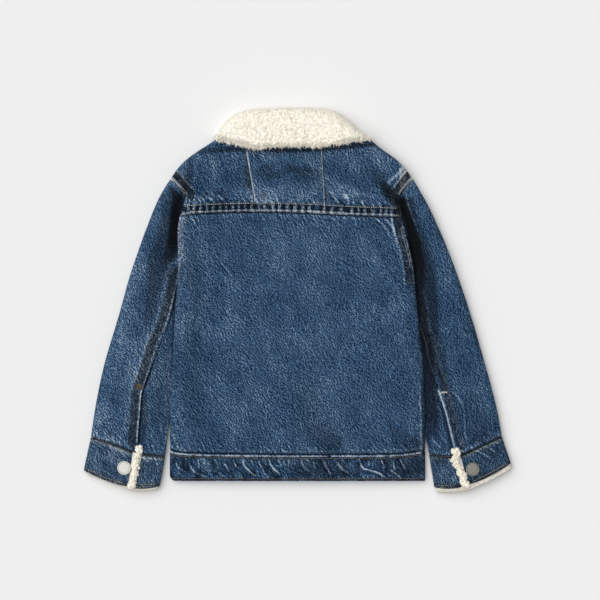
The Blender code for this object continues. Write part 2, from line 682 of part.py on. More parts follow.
def make_cuff(side, rows, lining_shows):
    """Cuff band, open at its slit, and the pile lining inside it, which shows past its edge."""
    sections = cuff_sections(rows)
    q_lists = []
    for section, row in zip(sections, rows):
        start = section.q_at_share(row.slit_inner)
        stop = section.q_at_share(row.slit_outer)
        q_lists.append(arc(start, 0.0, 5) + arc(4.0, 2.0, 10)[1:] + arc(2.0, stop, 6)[1:])
    cuff = tube_wall("cuff_" + side, sections, q_lists, [(0.0, CUFF_WALL)] * len(sections), DENIM)

    last, before = rows[-1], rows[-2]
    past = lining_shows / math.hypot(last.outer_x - before.outer_x, last.outer_y - before.outer_y)
    shown = [end + (end - start) * past for end, start in zip(last, before)]
    lining_rows = list(rows) + [CuffRow(*shown[:4], last.slit_outer, last.slit_inner, last.bow)]
    lining_sections = cuff_sections(lining_rows)
    lining_q, lining_rise, depths = [], [], []
    for index, (section, row) in enumerate(zip(lining_sections, lining_rows)):
        middle = section.q_at_share((row.slit_outer + row.slit_inner) / 2.0)
        beside = [section.q_past(middle, LINING_BULGE_REACH * side) for side in (-1.0, 0.0, 1.0)]
        q_list = arc(0.0, beside[0], 4) + beside[1:2] + arc(beside[2], 2.0, 5) + arc(2.0, 4.0, 10)[1:-1]
        lining_q.append(q_list)
        lining_rise.append([CUFF_LINING_BULGE if q == beside[1] else 0.0 for q in q_list])
        swell = LINING_FREE_EDGE_SWELL if index == len(lining_rows) - 1 else 0.0
        outer_depth = CUFF_WALL + LAYER_GAP - swell
        depths.append((outer_depth, CUFF_HEIGHT_Z / 2.0 - SLEEVE_WALL_CLEARANCE))
    closed_tube("cuff_lining_" + side, lining_sections, lining_q, depths, SHERPA, lining_rise)
    return cuff, sections


def closed_tube(name, sections, q_lists, depths, finish, rises):
    """A wall that goes right round its sections, open at both ends."""
    work = bmesh.new()
    layers = []
    for layer in (0, 1):
        rings = []
        for section, q_list, depth, lift in zip(sections, q_lists, depths, rises):
            ring = []
            for q, rise in zip(q_list, lift):
                x, y, z = section.point(q, depth[layer], rise if layer == 0 else 0.0)
                ring.append(work.verts.new(((x - LAYOUT_CENTRE[0]) * MM, (y - LAYOUT_CENTRE[1]) * MM, z * MM)))
            rings.append(ring)
        layers.append(rings)
    out, back = layers
    count = len(out[0])
    for i in range(len(out) - 1):
        for j in range(count):
            k = (j + 1) % count
            work.faces.new((out[i][j], out[i][k], out[i + 1][k], out[i + 1][j]))
            work.faces.new((back[i][j], back[i + 1][j], back[i + 1][k], back[i][k]))
    for i in (0, len(out) - 1):
        for j in range(count):
            k = (j + 1) % count
            work.faces.new((out[i][j], back[i][j], back[i][k], out[i][k]))
    bmesh.ops.recalc_face_normals(work, faces=work.faces)
    return finished_object(name, work, finish)


# Rows of the hem band as shares of its height, and the q where its two ends meet.
BAND_ROWS = (0.0, 0.12, 0.5, 0.88, 1.0)
BAND_MEETS_AT = 3.0


def make_waistband():
    """One strip right round the hem, its two ends meeting below the placket."""
    sections, q_lists = [], []
    for share in BAND_ROWS:
        section = Section((-BAND_HALF_WIDTH, 0.0), (BAND_HALF_WIDTH, 0.0), BAND_HEIGHT_Z)
        section.share = share
        sections.append(section)
        past_meeting = section.q_past(BAND_MEETS_AT, SEAM_GAP)
        q_lists.append(arc(past_meeting, 4.0, 8)[:-1] + arc(0.0, 2.0, 26)[:-1] + arc(2.0, BAND_MEETS_AT, 8))
    outer, inner = [], []
    for section, q_list in zip(sections, q_lists):
        for grid, depth in ((outer, 0.0), (inner, BAND_WALL)):
            row = []
            for q in q_list:
                x, _, z = section.point(q, depth)
                top = cross_line(x, "hem") - HEM_GAP / 2.0
                row.append((x, top + (HEM_BOTTOM_Y - top) * section.share, z))
            grid.append(row)
    return wall("waistband", outer, inner, DENIM)


# ---------------------------------------------------------------- collar


def collar_line(x, want):
    return table_value(COLLAR, "x", x, want)


# Cross-section of the fall between the yoke's top edge (share 0) and the roll (share 1):
# where the underside steps down off the yoke and off the under collar.
FallRow = namedtuple("FallRow", "share floor")
FALL_PAST_YOKE = (
    FallRow(1.0, 0.0),
    FallRow(0.975, 0.0),
    FallRow(0.9, 0.0),
    FallRow(0.78, 0.0),
    FallRow(0.66, 0.0),
    FallRow(0.58, SPLIT_Z + LAYER_GAP / 2.0),
    FallRow(0.36, SPLIT_Z + LAYER_GAP / 2.0),
    FallRow(0.16, SPLIT_Z + LAYER_GAP / 2.0),
)
FALL_OVER_YOKE_SHARES = (0.0, 0.3, 0.62, 0.84, 0.95, 1.0)
UNDER_COLLAR_SHARE = 0.52


def fall_floor_over_yoke(x, y):
    """The fall lies on the yoke, a little looser where the yoke rounds down at the neck's ends."""
    left, right = COLLAR[0].x, COLLAR[-1].x
    looser = FALL_END_LOOSENESS * (1.0 - smoothstep(min(x - left, right - x) / FALL_END_ROUND))
    return min(back_top(x, y), YOKE_UNDER_COLLAR_Z) + LAYER_GAP + looser


def fall_height(x, y, floor):
    """Upper face of the fall: a round roll at the top, a thick rounded free edge below."""
    fold, edge = collar_line(x, "fold"), fall_edge(x)
    left, right = COLLAR[0].x, COLLAR[-1].x
    ends = rounded(min(x - left, right - x), FALL_END_ROUND)
    crown = FALL_TOP_Z - FALL_END_DROP * (1.0 - ends)
    roll = rounded(fold - y, FALL_ROLL_ROUND * (0.3 + 0.7 * ends))
    free = rounded(y - edge, FALL_FREE_ROUND)
    low = FALL_EDGE_Z * ends + (YOKE_UNDER_COLLAR_Z - 1.0) * (1.0 - ends)
    height = min(low + (crown - low) * roll, crown - FALL_FREE_DROP * (1.0 - free))
    return max(height, floor + FALL_LEAST_WALL)


# Waves of the fall's free edge, where the pile's locks hang over it.
EdgeWave = namedtuple("EdgeWave", "height turns_per_mm start")
EDGE_WAVES = (EdgeWave(1.3, 0.47, 0.0), EdgeWave(0.8, 1.13, 1.0))


def fall_edge(x):
    """The free edge of the fall, uneven along its length."""
    waves = sum(wave.height * math.sin(x * wave.turns_per_mm + wave.start) for wave in EDGE_WAVES)
    return collar_line(x, "edge") + waves


def make_collar():
    """Fall of pile cloth rolled over the back neck, with the denim under collar inside it."""
    columns = 28
    left, right = COLLAR[0].x, COLLAR[-1].x
    outer, inner = [], []
    xs = [left + (right - left) * (0.5 - 0.5 * math.cos(math.pi * i / columns)) for i in range(columns + 1)]
    for row in FALL_PAST_YOKE:
        ys = [YOKE_TOP_Y + FALL_YOKE_GAP + (collar_line(x, "fold") - YOKE_TOP_Y) * row.share for x in xs]
        outer.append([(x, y, fall_height(x, y, row.floor)) for x, y in zip(xs, ys)])
        inner.append([(x, y, row.floor) for x, y in zip(xs, ys)])
    for share in FALL_OVER_YOKE_SHARES:
        start = YOKE_TOP_Y + FALL_YOKE_GAP
        ys = [start + (fall_edge(x) - start) * share for x in xs]
        floors = [fall_floor_over_yoke(x, y) for x, y in zip(xs, ys)]
        outer.append([(x, y, fall_height(x, y, floor)) for x, y, floor in zip(xs, ys, floors)])
        inner.append([(x, y, floor) for x, y, floor in zip(xs, ys, floors)])
    wall("collar_fall", outer, inner, SHERPA)


def make_under_collar():
    """Denim stand inside the roll, level with the fronts, from the leaves to the fall's roll."""
    outer, inner = [], []
    half = UNDER_COLLAR_HALF_WIDTH
    for share in (0.0, 0.5, 1.0):
        outer_row, inner_row = [], []
        for step in range(13):
            x = -half + 2.0 * half * step / 12
            room = collar_line(x, "fold") - YOKE_TOP_Y
            top = YOKE_TOP_Y + room * UNDER_COLLAR_SHARE
            bottom = table_value(COLLAR_LEAF, "roll_x", -abs(x), "roll_y") + 2.0
            y = top + (bottom - top) * share
            outer_row.append((x, y, SPLIT_Z - LAYER_GAP / 2.0))
            inner_row.append((x, y, 0.0))
        outer.append(outer_row)
        inner.append(inner_row)
    wall("under_collar", outer, inner, DENIM)


def make_collar_leaf(side, mirror):
    """Front leaf of the collar, turned down below the front panel and flat on the floor."""
    rim = LEAF_THICKNESS - LEAF_RIM_DROP
    profile = {0.0: rim, 0.08: LEAF_ROLL_THICKNESS, 0.22: LEAF_ROLL_THICKNESS, 0.32: LEAF_THICKNESS}
    profile.update({0.6: LEAF_THICKNESS, 0.9: LEAF_THICKNESS, 1.0: rim})
    outer, inner = [], []
    for row in COLLAR_LEAF:
        outer_row, inner_row = [], []
        for share, z in profile.items():
            x = row.roll_x + (row.edge_x - row.roll_x) * share
            y = row.roll_y + (row.edge_y - row.roll_y) * share
            outer_row.append((mirror * x, y, min(z, row.roll_z)))
            inner_row.append((mirror * x, y, 0.0))
        outer.append(outer_row)
        inner.append(inner_row)
    wall("collar_leaf_" + side, outer, inner, SHERPA)


# ---------------------------------------------------------------- snaps


SnapProfile = namedtuple("SnapProfile", "radius z")
CAP_PROFILE = (
    SnapProfile(0.0, 0.86),
    SnapProfile(0.62, 0.86),
    SnapProfile(0.76, 0.80),
    SnapProfile(0.84, 1.0),
    SnapProfile(0.93, 0.97),
    SnapProfile(1.0, 0.6),
    SnapProfile(0.97, 0.0),
    SnapProfile(0.0, 0.0),
)


def make_snap(name, x, y, z, thickness, sides):
    """A pressed cap turned from its half profile: a shallow dish inside a rolled rim."""
    work = bmesh.new()
    points = [
        work.verts.new((ring.radius * SNAP_RADIUS * MM, 0.0, ring.z * thickness * MM)) for ring in CAP_PROFILE
    ]
    edges = [work.edges.new(pair) for pair in zip(points, points[1:])]
    bmesh.ops.spin(
        work,
        geom=points + edges,
        cent=(0.0, 0.0, 0.0),
        axis=(0.0, 0.0, 1.0),
        angle=2.0 * math.pi,
        steps=sides,
        use_merge=True,
    )
    bmesh.ops.remove_doubles(work, verts=work.verts, dist=0.01 * MM)
    bmesh.ops.recalc_face_normals(work, faces=work.faces)
    cap = finished_object(name, work, SNAP_METAL)
    cap.location = ((x - LAYOUT_CENTRE[0]) * MM, (y - LAYOUT_CENTRE[1]) * MM, z * MM)
    return cap


def cut_recess(piece, x, y):
    """A flat-bottomed recess in the underside of a piece, which a flush snap fills."""
    depth = FRONT_SNAP_THICKNESS + SEAM_GAP
    bpy.ops.mesh.primitive_cylinder_add(
        vertices=20,
        radius=(SNAP_RADIUS + SEAM_GAP) * MM,
        depth=2.0 * depth * MM,
        location=((x - LAYOUT_CENTRE[0]) * MM, (y - LAYOUT_CENTRE[1]) * MM, 0.0),
    )
    cutter = bpy.context.active_object
    cutter.name = "recess_cutter"
    cutter.hide_render = True
    cutter.display_type = "WIRE"
    cut = piece.modifiers.new("Recess", "BOOLEAN")
    cut.operation = "DIFFERENCE"
    cut.object = cutter


def make_front_snaps(placket, waistband):
    places = [(placket, TOP_SNAP_Y - SNAP_PITCH * i) for i in range(5)] + [(waistband, BAND_SNAP_Y)]
    for number, (piece, y) in enumerate(places, 1):
        cut_recess(piece, FRONT_MIDDLE_X, y)
        make_snap(f"front_snap_{number}", FRONT_MIDDLE_X, y, 0.0, FRONT_SNAP_THICKNESS, 18)


def cuff_snap(side, sections, x, y):
    """Snap on the cuff's button side, seated on the highest point below its cap."""
    highest = 0.0
    for section in sections:
        for step in range(41):
            px, py, pz = section.point(2.0 * step / 40, 0.0)
            if abs(px - x) < 2.0 * SNAP_RADIUS:
                highest = max(highest, pz)
    make_snap("snap_" + side, x, y, highest + SEAM_GAP, SNAP_THICKNESS, 24)


def build():
    clear_scene()
    make_yoke()
    make_back_panel()
    placket = make_fronts()
    waistband = make_waistband()
    make_sleeve("left", LEFT_SLEEVE, LEFT_SLEEVE_UNDERARM_ROW)
    make_sleeve("right", RIGHT_SLEEVE, RIGHT_SLEEVE_UNDERARM_ROW)
    left_sections = make_cuff("left", LEFT_CUFF, LINING_SHOWS_LEFT)[1]
    right_sections = make_cuff("right", RIGHT_CUFF, LINING_SHOWS_RIGHT)[1]
    make_collar()
    make_under_collar()
    make_collar_leaf("left", 1.0)
    make_collar_leaf("right", -1.0)
    cuff_snap("left", left_sections, *CUFF_SNAP_LEFT)
    cuff_snap("right", right_sections, *CUFF_SNAP_RIGHT)
    make_front_snaps(placket, waistband)


build()
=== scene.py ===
import json
import math
from collections import namedtuple

import bmesh
import bpy
import numpy as np
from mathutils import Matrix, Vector, noise
from mathutils.bvhtree import BVHTree
from mathutils.kdtree import KDTree

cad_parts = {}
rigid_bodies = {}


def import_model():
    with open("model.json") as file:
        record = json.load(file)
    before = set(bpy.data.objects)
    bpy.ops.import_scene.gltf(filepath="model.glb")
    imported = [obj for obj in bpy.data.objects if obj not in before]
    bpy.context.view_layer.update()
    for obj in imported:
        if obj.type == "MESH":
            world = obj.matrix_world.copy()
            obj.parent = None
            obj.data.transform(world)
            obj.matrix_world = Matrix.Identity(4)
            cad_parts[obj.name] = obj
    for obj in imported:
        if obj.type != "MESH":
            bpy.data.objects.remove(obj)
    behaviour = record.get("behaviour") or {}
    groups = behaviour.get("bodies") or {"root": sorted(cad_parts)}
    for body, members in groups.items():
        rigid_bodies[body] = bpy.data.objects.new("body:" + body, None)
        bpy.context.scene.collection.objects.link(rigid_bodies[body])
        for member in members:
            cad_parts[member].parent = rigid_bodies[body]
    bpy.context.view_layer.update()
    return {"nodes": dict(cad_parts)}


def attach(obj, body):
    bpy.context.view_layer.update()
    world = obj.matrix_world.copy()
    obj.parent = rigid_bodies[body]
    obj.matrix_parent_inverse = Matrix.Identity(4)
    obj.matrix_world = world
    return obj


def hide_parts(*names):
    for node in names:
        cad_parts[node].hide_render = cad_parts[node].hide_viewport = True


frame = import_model()

# ---------------------------------------------------------------- table, lamp and camera
# The jacket lies face down on a smooth pale board. One very wide soft lamp stands beyond
# its upper left corner, pale walls fill the shadows, and the camera hangs straight above.

BOARD_SIZE = 8.0
BOARD_COLOUR = (0.80, 0.80, 0.80, 1.0)
WALL_LIGHT = 0.26
LAMP_STRENGTH = 2.91
LAMP_WIDTH = math.radians(82.0)
LAMP_TILT = math.radians(28.0)
LAMP_BEARING = math.radians(62.0)
CAMERA_HEIGHT = 3.012
CAMERA_LENS = 150.0
CAMERA_OVER = (0.00279, 0.00169)

board_mesh = bpy.data.meshes.new("board")
half_board = BOARD_SIZE / 2.0
board_corners = [(x * half_board, y * half_board, 0.0) for x, y in ((-1, -1), (1, -1), (1, 1), (-1, 1))]
board_mesh.from_pydata(board_corners, [], [(0, 1, 2, 3)])
board = bpy.data.objects.new("board", board_mesh)
bpy.context.scene.collection.objects.link(board)
board_finish = bpy.data.materials.new("pale board")
board_finish.use_nodes = True
board_shader = board_finish.node_tree.nodes["Principled BSDF"]
board_shader.inputs["Base Color"].default_value = BOARD_COLOUR
board_shader.inputs["Roughness"].default_value = 0.9
board_shader.inputs["Specular IOR Level"].default_value = 0.0
board_mesh.materials.append(board_finish)

walls = bpy.data.worlds.new("pale walls")
walls.use_nodes = True
walls.node_tree.nodes["Background"].inputs["Color"].default_value = (1.0, 1.0, 1.0, 1.0)
walls.node_tree.nodes["Background"].inputs["Strength"].default_value = WALL_LIGHT
bpy.context.scene.world = walls

lamp = bpy.data.objects.new("lamp", bpy.data.lights.new("lamp", "SUN"))
lamp.data.energy = LAMP_STRENGTH
lamp.data.angle = LAMP_WIDTH
lamp.rotation_euler = (-LAMP_TILT, 0.0, LAMP_BEARING)
bpy.context.scene.collection.objects.link(lamp)

camera = bpy.data.objects.new("camera", bpy.data.cameras.new("camera"))
camera.data.lens = CAMERA_LENS
camera.location = (*CAMERA_OVER, CAMERA_HEIGHT)
bpy.context.scene.collection.objects.link(camera)
bpy.context.scene.camera = camera
bpy.context.scene.view_settings.view_transform = "Standard"

# ---------------------------------------------------------------- back panel
# One piece of mid blue denim over its pile lining, from the yoke's seam to the hem band.
# It is cut with the warp down the back and washed until its seams and creases are pale.

MM = 0.001
SAME_POINT = 0.00002
CRISP_EDGE = math.radians(42.0)
EDGE_CRISPNESS = 0.85
HIDDEN_GAP = 0.0024
LEVEL_FACE = 0.6
PAIRED_BELOW = math.radians(60.0)
FINE_LEVELS = 2

# The cloth's colours from unworn dark yarn to bare weft, and the greyer ones that thread,
# rubbing and turned edges give beside a seam: place on the ramp, then the colour.
BLUE_RAMP = (
    (0.00, (0.0020, 0.0050, 0.0110)),
    (0.20, (0.0045, 0.0195, 0.0510)),
    (0.35, (0.0118, 0.0378, 0.0870)),
    (0.50, (0.0264, 0.0662, 0.1320)),
    (0.65, (0.0510, 0.1065, 0.1900)),
    (0.80, (0.0940, 0.1660, 0.2640)),
    (1.00, (0.3800, 0.4500, 0.5300)),
)
GREY_RAMP = (
    (0.00, (0.0026, 0.0036, 0.0048)),
    (0.20, (0.0100, 0.0150, 0.0200)),
    (0.35, (0.0235, 0.0345, 0.0440)),
    (0.50, (0.0470, 0.0620, 0.0750)),
    (0.65, (0.0860, 0.1030, 0.1170)),
    (0.80, (0.1480, 0.1680, 0.1830)),
    (1.00, (0.4300, 0.4700, 0.4900)),
)
FOLD_GAMMA = 2.2
PALEST_YARN = 0.34
LEAST_TWILL = 0.4
# Length and width of one streak of each kind, in millimetres.
TWILL_LINE = (2.7, 1.3)
FLECK = (1.3, 1.0)
SLUB = (9.0, 2.4)
CLOUD = (52.0, 30.0)
TWILL_HALF = 0.6
YARN_ROUGHNESS = 0.55


def filled(tree, node, inputs):
    """The node, with each input set to a plain value or linked from another node's output."""
    for socket, value in inputs.items():
        if isinstance(value, bpy.types.NodeSocket):
            tree.links.new(value, node.inputs[socket])
        else:
            node.inputs[socket].default_value = value
    return node


def counted(tree, operation, *values):
    """One step of arithmetic on values or outputs."""
    node = tree.nodes.new("ShaderNodeMath")
    node.operation = operation
    return filled(tree, node, dict(enumerate(values))).outputs[0]


def written(tree, name):
    """The values that a piece's points carry under a name."""
    node = tree.nodes.new("ShaderNodeAttribute")
    node.attribute_name = name
    return node.outputs["Fac"]


def noisy(tree, place, scale, detail, roughness=0.5):
    """Soft noise over the cloth."""
    inputs = {"Vector": place, "Scale": scale, "Detail": detail, "Roughness": roughness}
    return filled(tree, tree.nodes.new("ShaderNodeTexNoise"), inputs).outputs["Fac"]


def ramped(tree, value, stops):
    """The colour at a value, between stops of (place, colour)."""
    ramp = tree.nodes.new("ShaderNodeValToRGB")
    elements = ramp.color_ramp.elements
    for at, _ in stops[1:-1]:
        elements.new(at)
    for element, (at, colour) in zip(elements, stops):
        element.position = at
        element.color = (*colour, 1.0)
    return filled(tree, ramp, {"Fac": value}).outputs["Color"]


def blended(tree, factor, first, second, how="MIX"):
    """Two colours put together, the second by the given share."""
    node = tree.nodes.new("ShaderNodeMix")
    node.data_type = "RGBA"
    node.blend_type = how
    return filled(tree, node, {"Factor": factor, "A": first, "B": second}).outputs["Result"]


def bumped(tree, height, strength, distance):
    """Low relief of a distance in millimetres."""
    inputs = {"Height": height, "Strength": strength, "Distance": distance * MM}
    return filled(tree, tree.nodes.new("ShaderNodeBump"), inputs).outputs["Normal"]


def bare_finish(name):
    """A new material, its nodes, its shader and each point's place on the jacket."""
    made = bpy.data.materials.new(name)
    made.use_nodes = True
    tree = made.node_tree
    return made, tree, tree.nodes["Principled BSDF"], tree.nodes.new("ShaderNodeTexCoord").outputs["Object"]


def darkened_by_dye_and_shade(tree, colour):
    """The colour, darkened by the values each piece's points carry for dark dye and for painted shade:
    shade painted into folds, valleys, seam grooves and beside raised edges.
    """
    left = counted(tree, "SUBTRACT", 1.0, written(tree, "dye_and_shade"))
    return blended(tree, 1.0, colour, counted(tree, "POWER", left, FOLD_GAMMA), "MULTIPLY")


def denim(name, streak_angle=128.0, fade=-0.02, contrast=1.0):
    """Washed twill: slubby streaks of light and dark yarn, paler where worn, greyer by the seams, darker
    where dark dye and painted shade are given.
    """
    made, tree, shader, place = bare_finish(name)

    def yarn(size, angle, detail, seed, aside=0.0):
        """Uneven noise, longer along one direction of the cloth than across it, moved a little aside."""
        length, width = size
        turn = math.radians(angle)
        step = aside * MM
        turned = tree.nodes.new("ShaderNodeMapping")
        turned.vector_type = "TEXTURE"
        inputs = {
            "Vector": place,
            "Rotation": (0.0, 0.0, turn),
            "Scale": (length * MM, width * MM, width * MM),
            "Location": (seed - step * math.sin(turn), step * math.cos(turn) - seed, seed / 2.0),
        }
        return noisy(tree, filled(tree, turned, inputs).outputs["Vector"], 1.0, detail, YARN_ROUGHNESS)

    def weighed(value, weight):
        """The value about its middle, times a weight."""
        return counted(tree, "MULTIPLY_ADD", value, weight, -0.5 * weight)

    def added(total, *values):
        for value in values:
            total = counted(tree, "ADD", total, value)
        return total

    # Each twill line has a light side and a dark side, with short flecks between.
    light_side = yarn(TWILL_LINE, streak_angle, 0.0, 0.11, aside=TWILL_HALF)
    dark_side = yarn(TWILL_LINE, streak_angle, 0.0, 0.11, aside=-TWILL_HALF)
    flecks = yarn(FLECK, streak_angle, 0.0, 0.71)
    slubs = yarn(SLUB, streak_angle - 28.0, 1.0, 0.83)
    clouds = yarn(CLOUD, streak_angle - 20.0, 4.0, 0.59)
    twill = added(weighed(light_side, 1.0), weighed(dark_side, -1.0), weighed(flecks, 1.1))
    worn = written(tree, "wear")
    # Where the cloth is worn flat and pale, its twill shows less.
    calm = counted(tree, "MINIMUM", counted(tree, "MULTIPLY_ADD", worn, -1.3, contrast), contrast)
    shown = counted(tree, "MULTIPLY", twill, counted(tree, "MAXIMUM", calm, LEAST_TWILL))
    palest = counted(tree, "MINIMUM", shown, PALEST_YARN)
    shade = added(palest, weighed(slubs, 0.30), weighed(clouds, 0.50), worn, 0.5 + fade)
    blue, grey = ramped(tree, shade, BLUE_RAMP), ramped(tree, shade, GREY_RAMP)
    inputs = {
        "Base Color": darkened_by_dye_and_shade(tree, blended(tree, written(tree, "greyed"), blue, grey)),
        "Normal": bumped(tree, added(weighed(light_side, 1.0), weighed(flecks, 0.6)), 0.35, 0.3),
        "Roughness": 0.95,
        "Specular IOR Level": 0.12,
        "Sheen Weight": 0.03,
        "Sheen Roughness": 0.6,
    }
    filled(tree, shader, inputs)
    return made


def beside(points, line):
    """How far each point lies from a line, positive to its left."""
    nearest = np.full(len(points), np.inf)
    side = np.ones(len(points))
    for start, stop in zip(line, line[1:]):
        run = stop - start
        length = max(float(np.linalg.norm(run)), 1e-9)
        off = points[:, :2] - start
        t = np.clip(off @ run / length**2, 0.0, 1.0)
        gap = off - t[:, None] * run
        distance = np.hypot(gap[:, 0], gap[:, 1])
        closer = distance < nearest
        sign = np.where(run[0] * off[:, 1] - run[1] * off[:, 0] >= 0.0, 1.0, -1.0)
        nearest[closer] = distance[closer]
        side[closer] = sign[closer]
    return nearest * side


def around(points, line, reach):
    """Which points lie in the box round a line, widened by a reach."""
    return np.all((points[:, :2] > line.min(0) - reach) & (points[:, :2] < line.max(0) + reach), axis=1)


def hidden_walls(nodes):
    """The solids whose surfaces may cover each other's inner faces, for looking up what lies close by."""
    points, faces = [], []
    for node in nodes:
        mesh = frame["nodes"][node].data
        base = len(points)
        points += [vertex.co.copy() for vertex in mesh.vertices]
        faces += [tuple(base + index for index in polygon.vertices) for polygon in mesh.polygons]
    return BVHTree.FromPolygons(points, faces)


def fine_cloth(name, node, levels, covers=(), lines=(), reach=(10.0, 3.0)):
    """A finer shell on a solid's form.

    Its triangles are paired, its faces that lie shut against another wall are left out, its cut
    edges are kept crisp, and it is subdivided: once more within each reach of the given lines.
    """
    work = bmesh.new()
    work.from_mesh(frame["nodes"][node].data)
    bmesh.ops.remove_doubles(work, verts=work.verts, dist=SAME_POINT)
    if covers:
        tree = hidden_walls(covers)
        shut = []
        for face in work.faces:
            middle = face.calc_center_median() + face.normal * SAME_POINT
            level = abs(face.normal.z) > LEVEL_FACE
            if level and tree.ray_cast(middle, face.normal, HIDDEN_GAP)[0] is not None:
                shut.append(face)
        bmesh.ops.delete(work, geom=shut, context="FACES")
    bmesh.ops.join_triangles(
        work,
        faces=work.faces,
        angle_face_threshold=PAIRED_BELOW,
        angle_shape_threshold=math.pi,
    )
    crisp = work.edges.layers.float.new("crease_edge")
    for edge in work.edges:
        if edge.is_boundary or (edge.is_manifold and edge.calc_face_angle() > CRISP_EDGE):
            edge[crisp] = EDGE_CRISPNESS
    coarse = bpy.data.meshes.new(name + "_coarse")
    work.to_mesh(coarse)
    work.free()
    piece = bpy.data.objects.new(name, coarse)
    bpy.context.scene.collection.objects.link(piece)
    smooth = piece.modifiers.new("Smooth", "SUBSURF")
    smooth.levels = levels
    smooth.render_levels = levels
    smooth.boundary_smooth = "PRESERVE_CORNERS"
    made = bpy.data.meshes.new_from_object(piece.evaluated_get(bpy.context.evaluated_depsgraph_get()))
    piece.modifiers.clear()
    piece.data = made
    made.name = name
    bpy.data.meshes.remove(coarse)
    passes = reach
    for distance in passes if lines else ():
        points, normals = mesh_arrays(piece)
        near = np.zeros(len(points), bool)
        for line in lines:
            boxed = around(points, line, distance) & (normals[:, 2] > 0.05)
            near[boxed] |= np.abs(beside(points[boxed], line)) < distance
        work = bmesh.new()
        work.from_mesh(made)
        split = [edge for edge in work.edges if near[edge.verts[0].index] and near[edge.verts[1].index]]
        bmesh.ops.subdivide_edges(work, edges=split, cuts=1, use_grid_fill=True)
        work.to_mesh(made)
        work.free()
    made.shade_smooth()
    return piece


def mesh_arrays(piece):
    """A piece's points in millimetres and its normals."""
    count = len(piece.data.vertices)
    points = np.empty(count * 3)
    normals = np.empty(count * 3)
    piece.data.vertices.foreach_get("co", points)
    piece.data.vertex_normals.foreach_get("vector", normals)
    return points.reshape(-1, 3) / MM, normals.reshape(-1, 3)


def ease(t):
    """From 0 to 1, with a gentle start and end."""
    t = np.clip(t, 0.0, 1.0)
    return t * t * (3.0 - 2.0 * t)


def bell(distance, at, spread):
    """1 at a distance of `at`, falling off smoothly on both sides."""
    return np.exp(-(((distance - at) / spread) ** 2))


def drawn(*corners, step=2.0):
    """A smooth line through a few (x, y) corners, as points about `step` apart."""
    corners = np.array(corners, float)
    padded = np.vstack([2 * corners[0] - corners[1], corners, 2 * corners[-1] - corners[-2]])
    line = []
    for a, b, c, d in zip(padded, padded[1:], padded[2:], padded[3:]):
        count = max(2, int(np.linalg.norm(c - b) / step))
        for t in np.arange(count) / count:
            bend = (2 * a - 5 * b + 4 * c - d) * t**2 + (3 * b - a - 3 * c + d) * t**3
            line.append(0.5 * (2 * b + (c - a) * t + bend))
    line.append(corners[-1])
    return np.array(line)


def lengths_of(line):
    """How far along a line each of its points lies."""
    return np.concatenate([[0.0], np.cumsum(np.linalg.norm(np.diff(line, axis=0), axis=1))])


def spot_on(line, lengths, at):
    """The place on a line at a distance along it."""
    return np.array([np.interp(at, lengths, line[:, 0]), np.interp(at, lengths, line[:, 1])])


def moved(line, offset):
    """A line moved sideways by `offset`, positive to its left."""
    run = np.gradient(line, axis=0)
    run /= np.linalg.norm(run, axis=1)[:, None]
    return line + offset * np.stack([-run[:, 1], run[:, 0]], axis=1)


# A crease: the line of its crest, its half width, its rise (a trough is negative) and how
# much paler its crest is worn.
Crease = namedtuple("Crease", "line width rise wear")
NARROW_CREASE = 4.0


def crease(width, rise, wear, *corners):
    return Crease(drawn(*corners, step=1.5), width, rise, wear)


def narrow_lines(creases):
    """The lines of the sharp creases, which need finer cloth."""
    return [fold.line for fold in creases if fold.width < NARROW_CREASE]


def creased(points, creases):
    """Rise and wear at each point from creases, each fading across and towards its ends."""
    rise = np.zeros(len(points))
    wear = np.zeros(len(points))
    for fold in creases:
        reach = 3.0 * fold.width
        near = around(points, fold.line, reach)
        if not near.any():
            continue
        spots = points[near]
        across = beside(spots, fold.line)
        ends = np.minimum(*(np.hypot(*(spots[:, :2] - end).T) for end in fold.line[[0, -1]]))
        taper = 0.25 + 0.75 * ease(ends / max(2.0 * fold.width, 0.25 * len(fold.line) * 1.5))
        crest = np.clip(1.0 - (across / fold.width) ** 2, 0.0, 1.0)
        foot = np.clip(1.0 - ((np.abs(across) - 1.8 * fold.width) / (1.1 * fold.width)) ** 2, 0.0, 1.0)
        rise[near] += fold.rise * taper * (crest**2 - 0.3 * foot)
        wear[near] += fold.wear * taper * (crest - 0.34 * foot)
    return rise, wear


def puckers(line, lean, length, pitch, width, rise, wear, seed):
    """Small creases that a seam pulls in beside it: uneven in place, length and slant."""
    draw = np.random.default_rng(seed)
    lengths = lengths_of(line)
    made = []
    at = pitch * draw.uniform(0.2, 0.9)
    while at < lengths[-1]:
        foot = spot_on(line, lengths, at)
        turn = math.radians(lean + draw.normal(0.0, 10.0))
        run = length * draw.uniform(0.45, 1.3) * np.array([math.cos(turn), math.sin(turn)])
        bow = draw.normal(0.0, 0.10) * np.array([-run[1], run[0]])
        size = draw.uniform(0.4, 1.3)
        corners = (foot, foot + run / 2 + bow, foot + run)
        made.append(crease(width * draw.uniform(0.8, 1.3), rise * size, wear * size, *corners))
        at += pitch * draw.uniform(0.55, 1.6)
    return made


def unevenness(points, size, height, seed):
    """Soft hand-laid waviness of cloth."""
    shift = Vector((seed * 17.3, seed * 5.1, seed * 9.7))
    return height * np.array([noise.noise(Vector(point) / size + shift) for point in points])


def laid_top(points, normals, above):
    """1 where a point is on the upper outer face of a piece, fading at its edge above a height."""
    return ease(normals[:, 2] / 0.45) * ease((points[:, 2] - above) / 1.5)


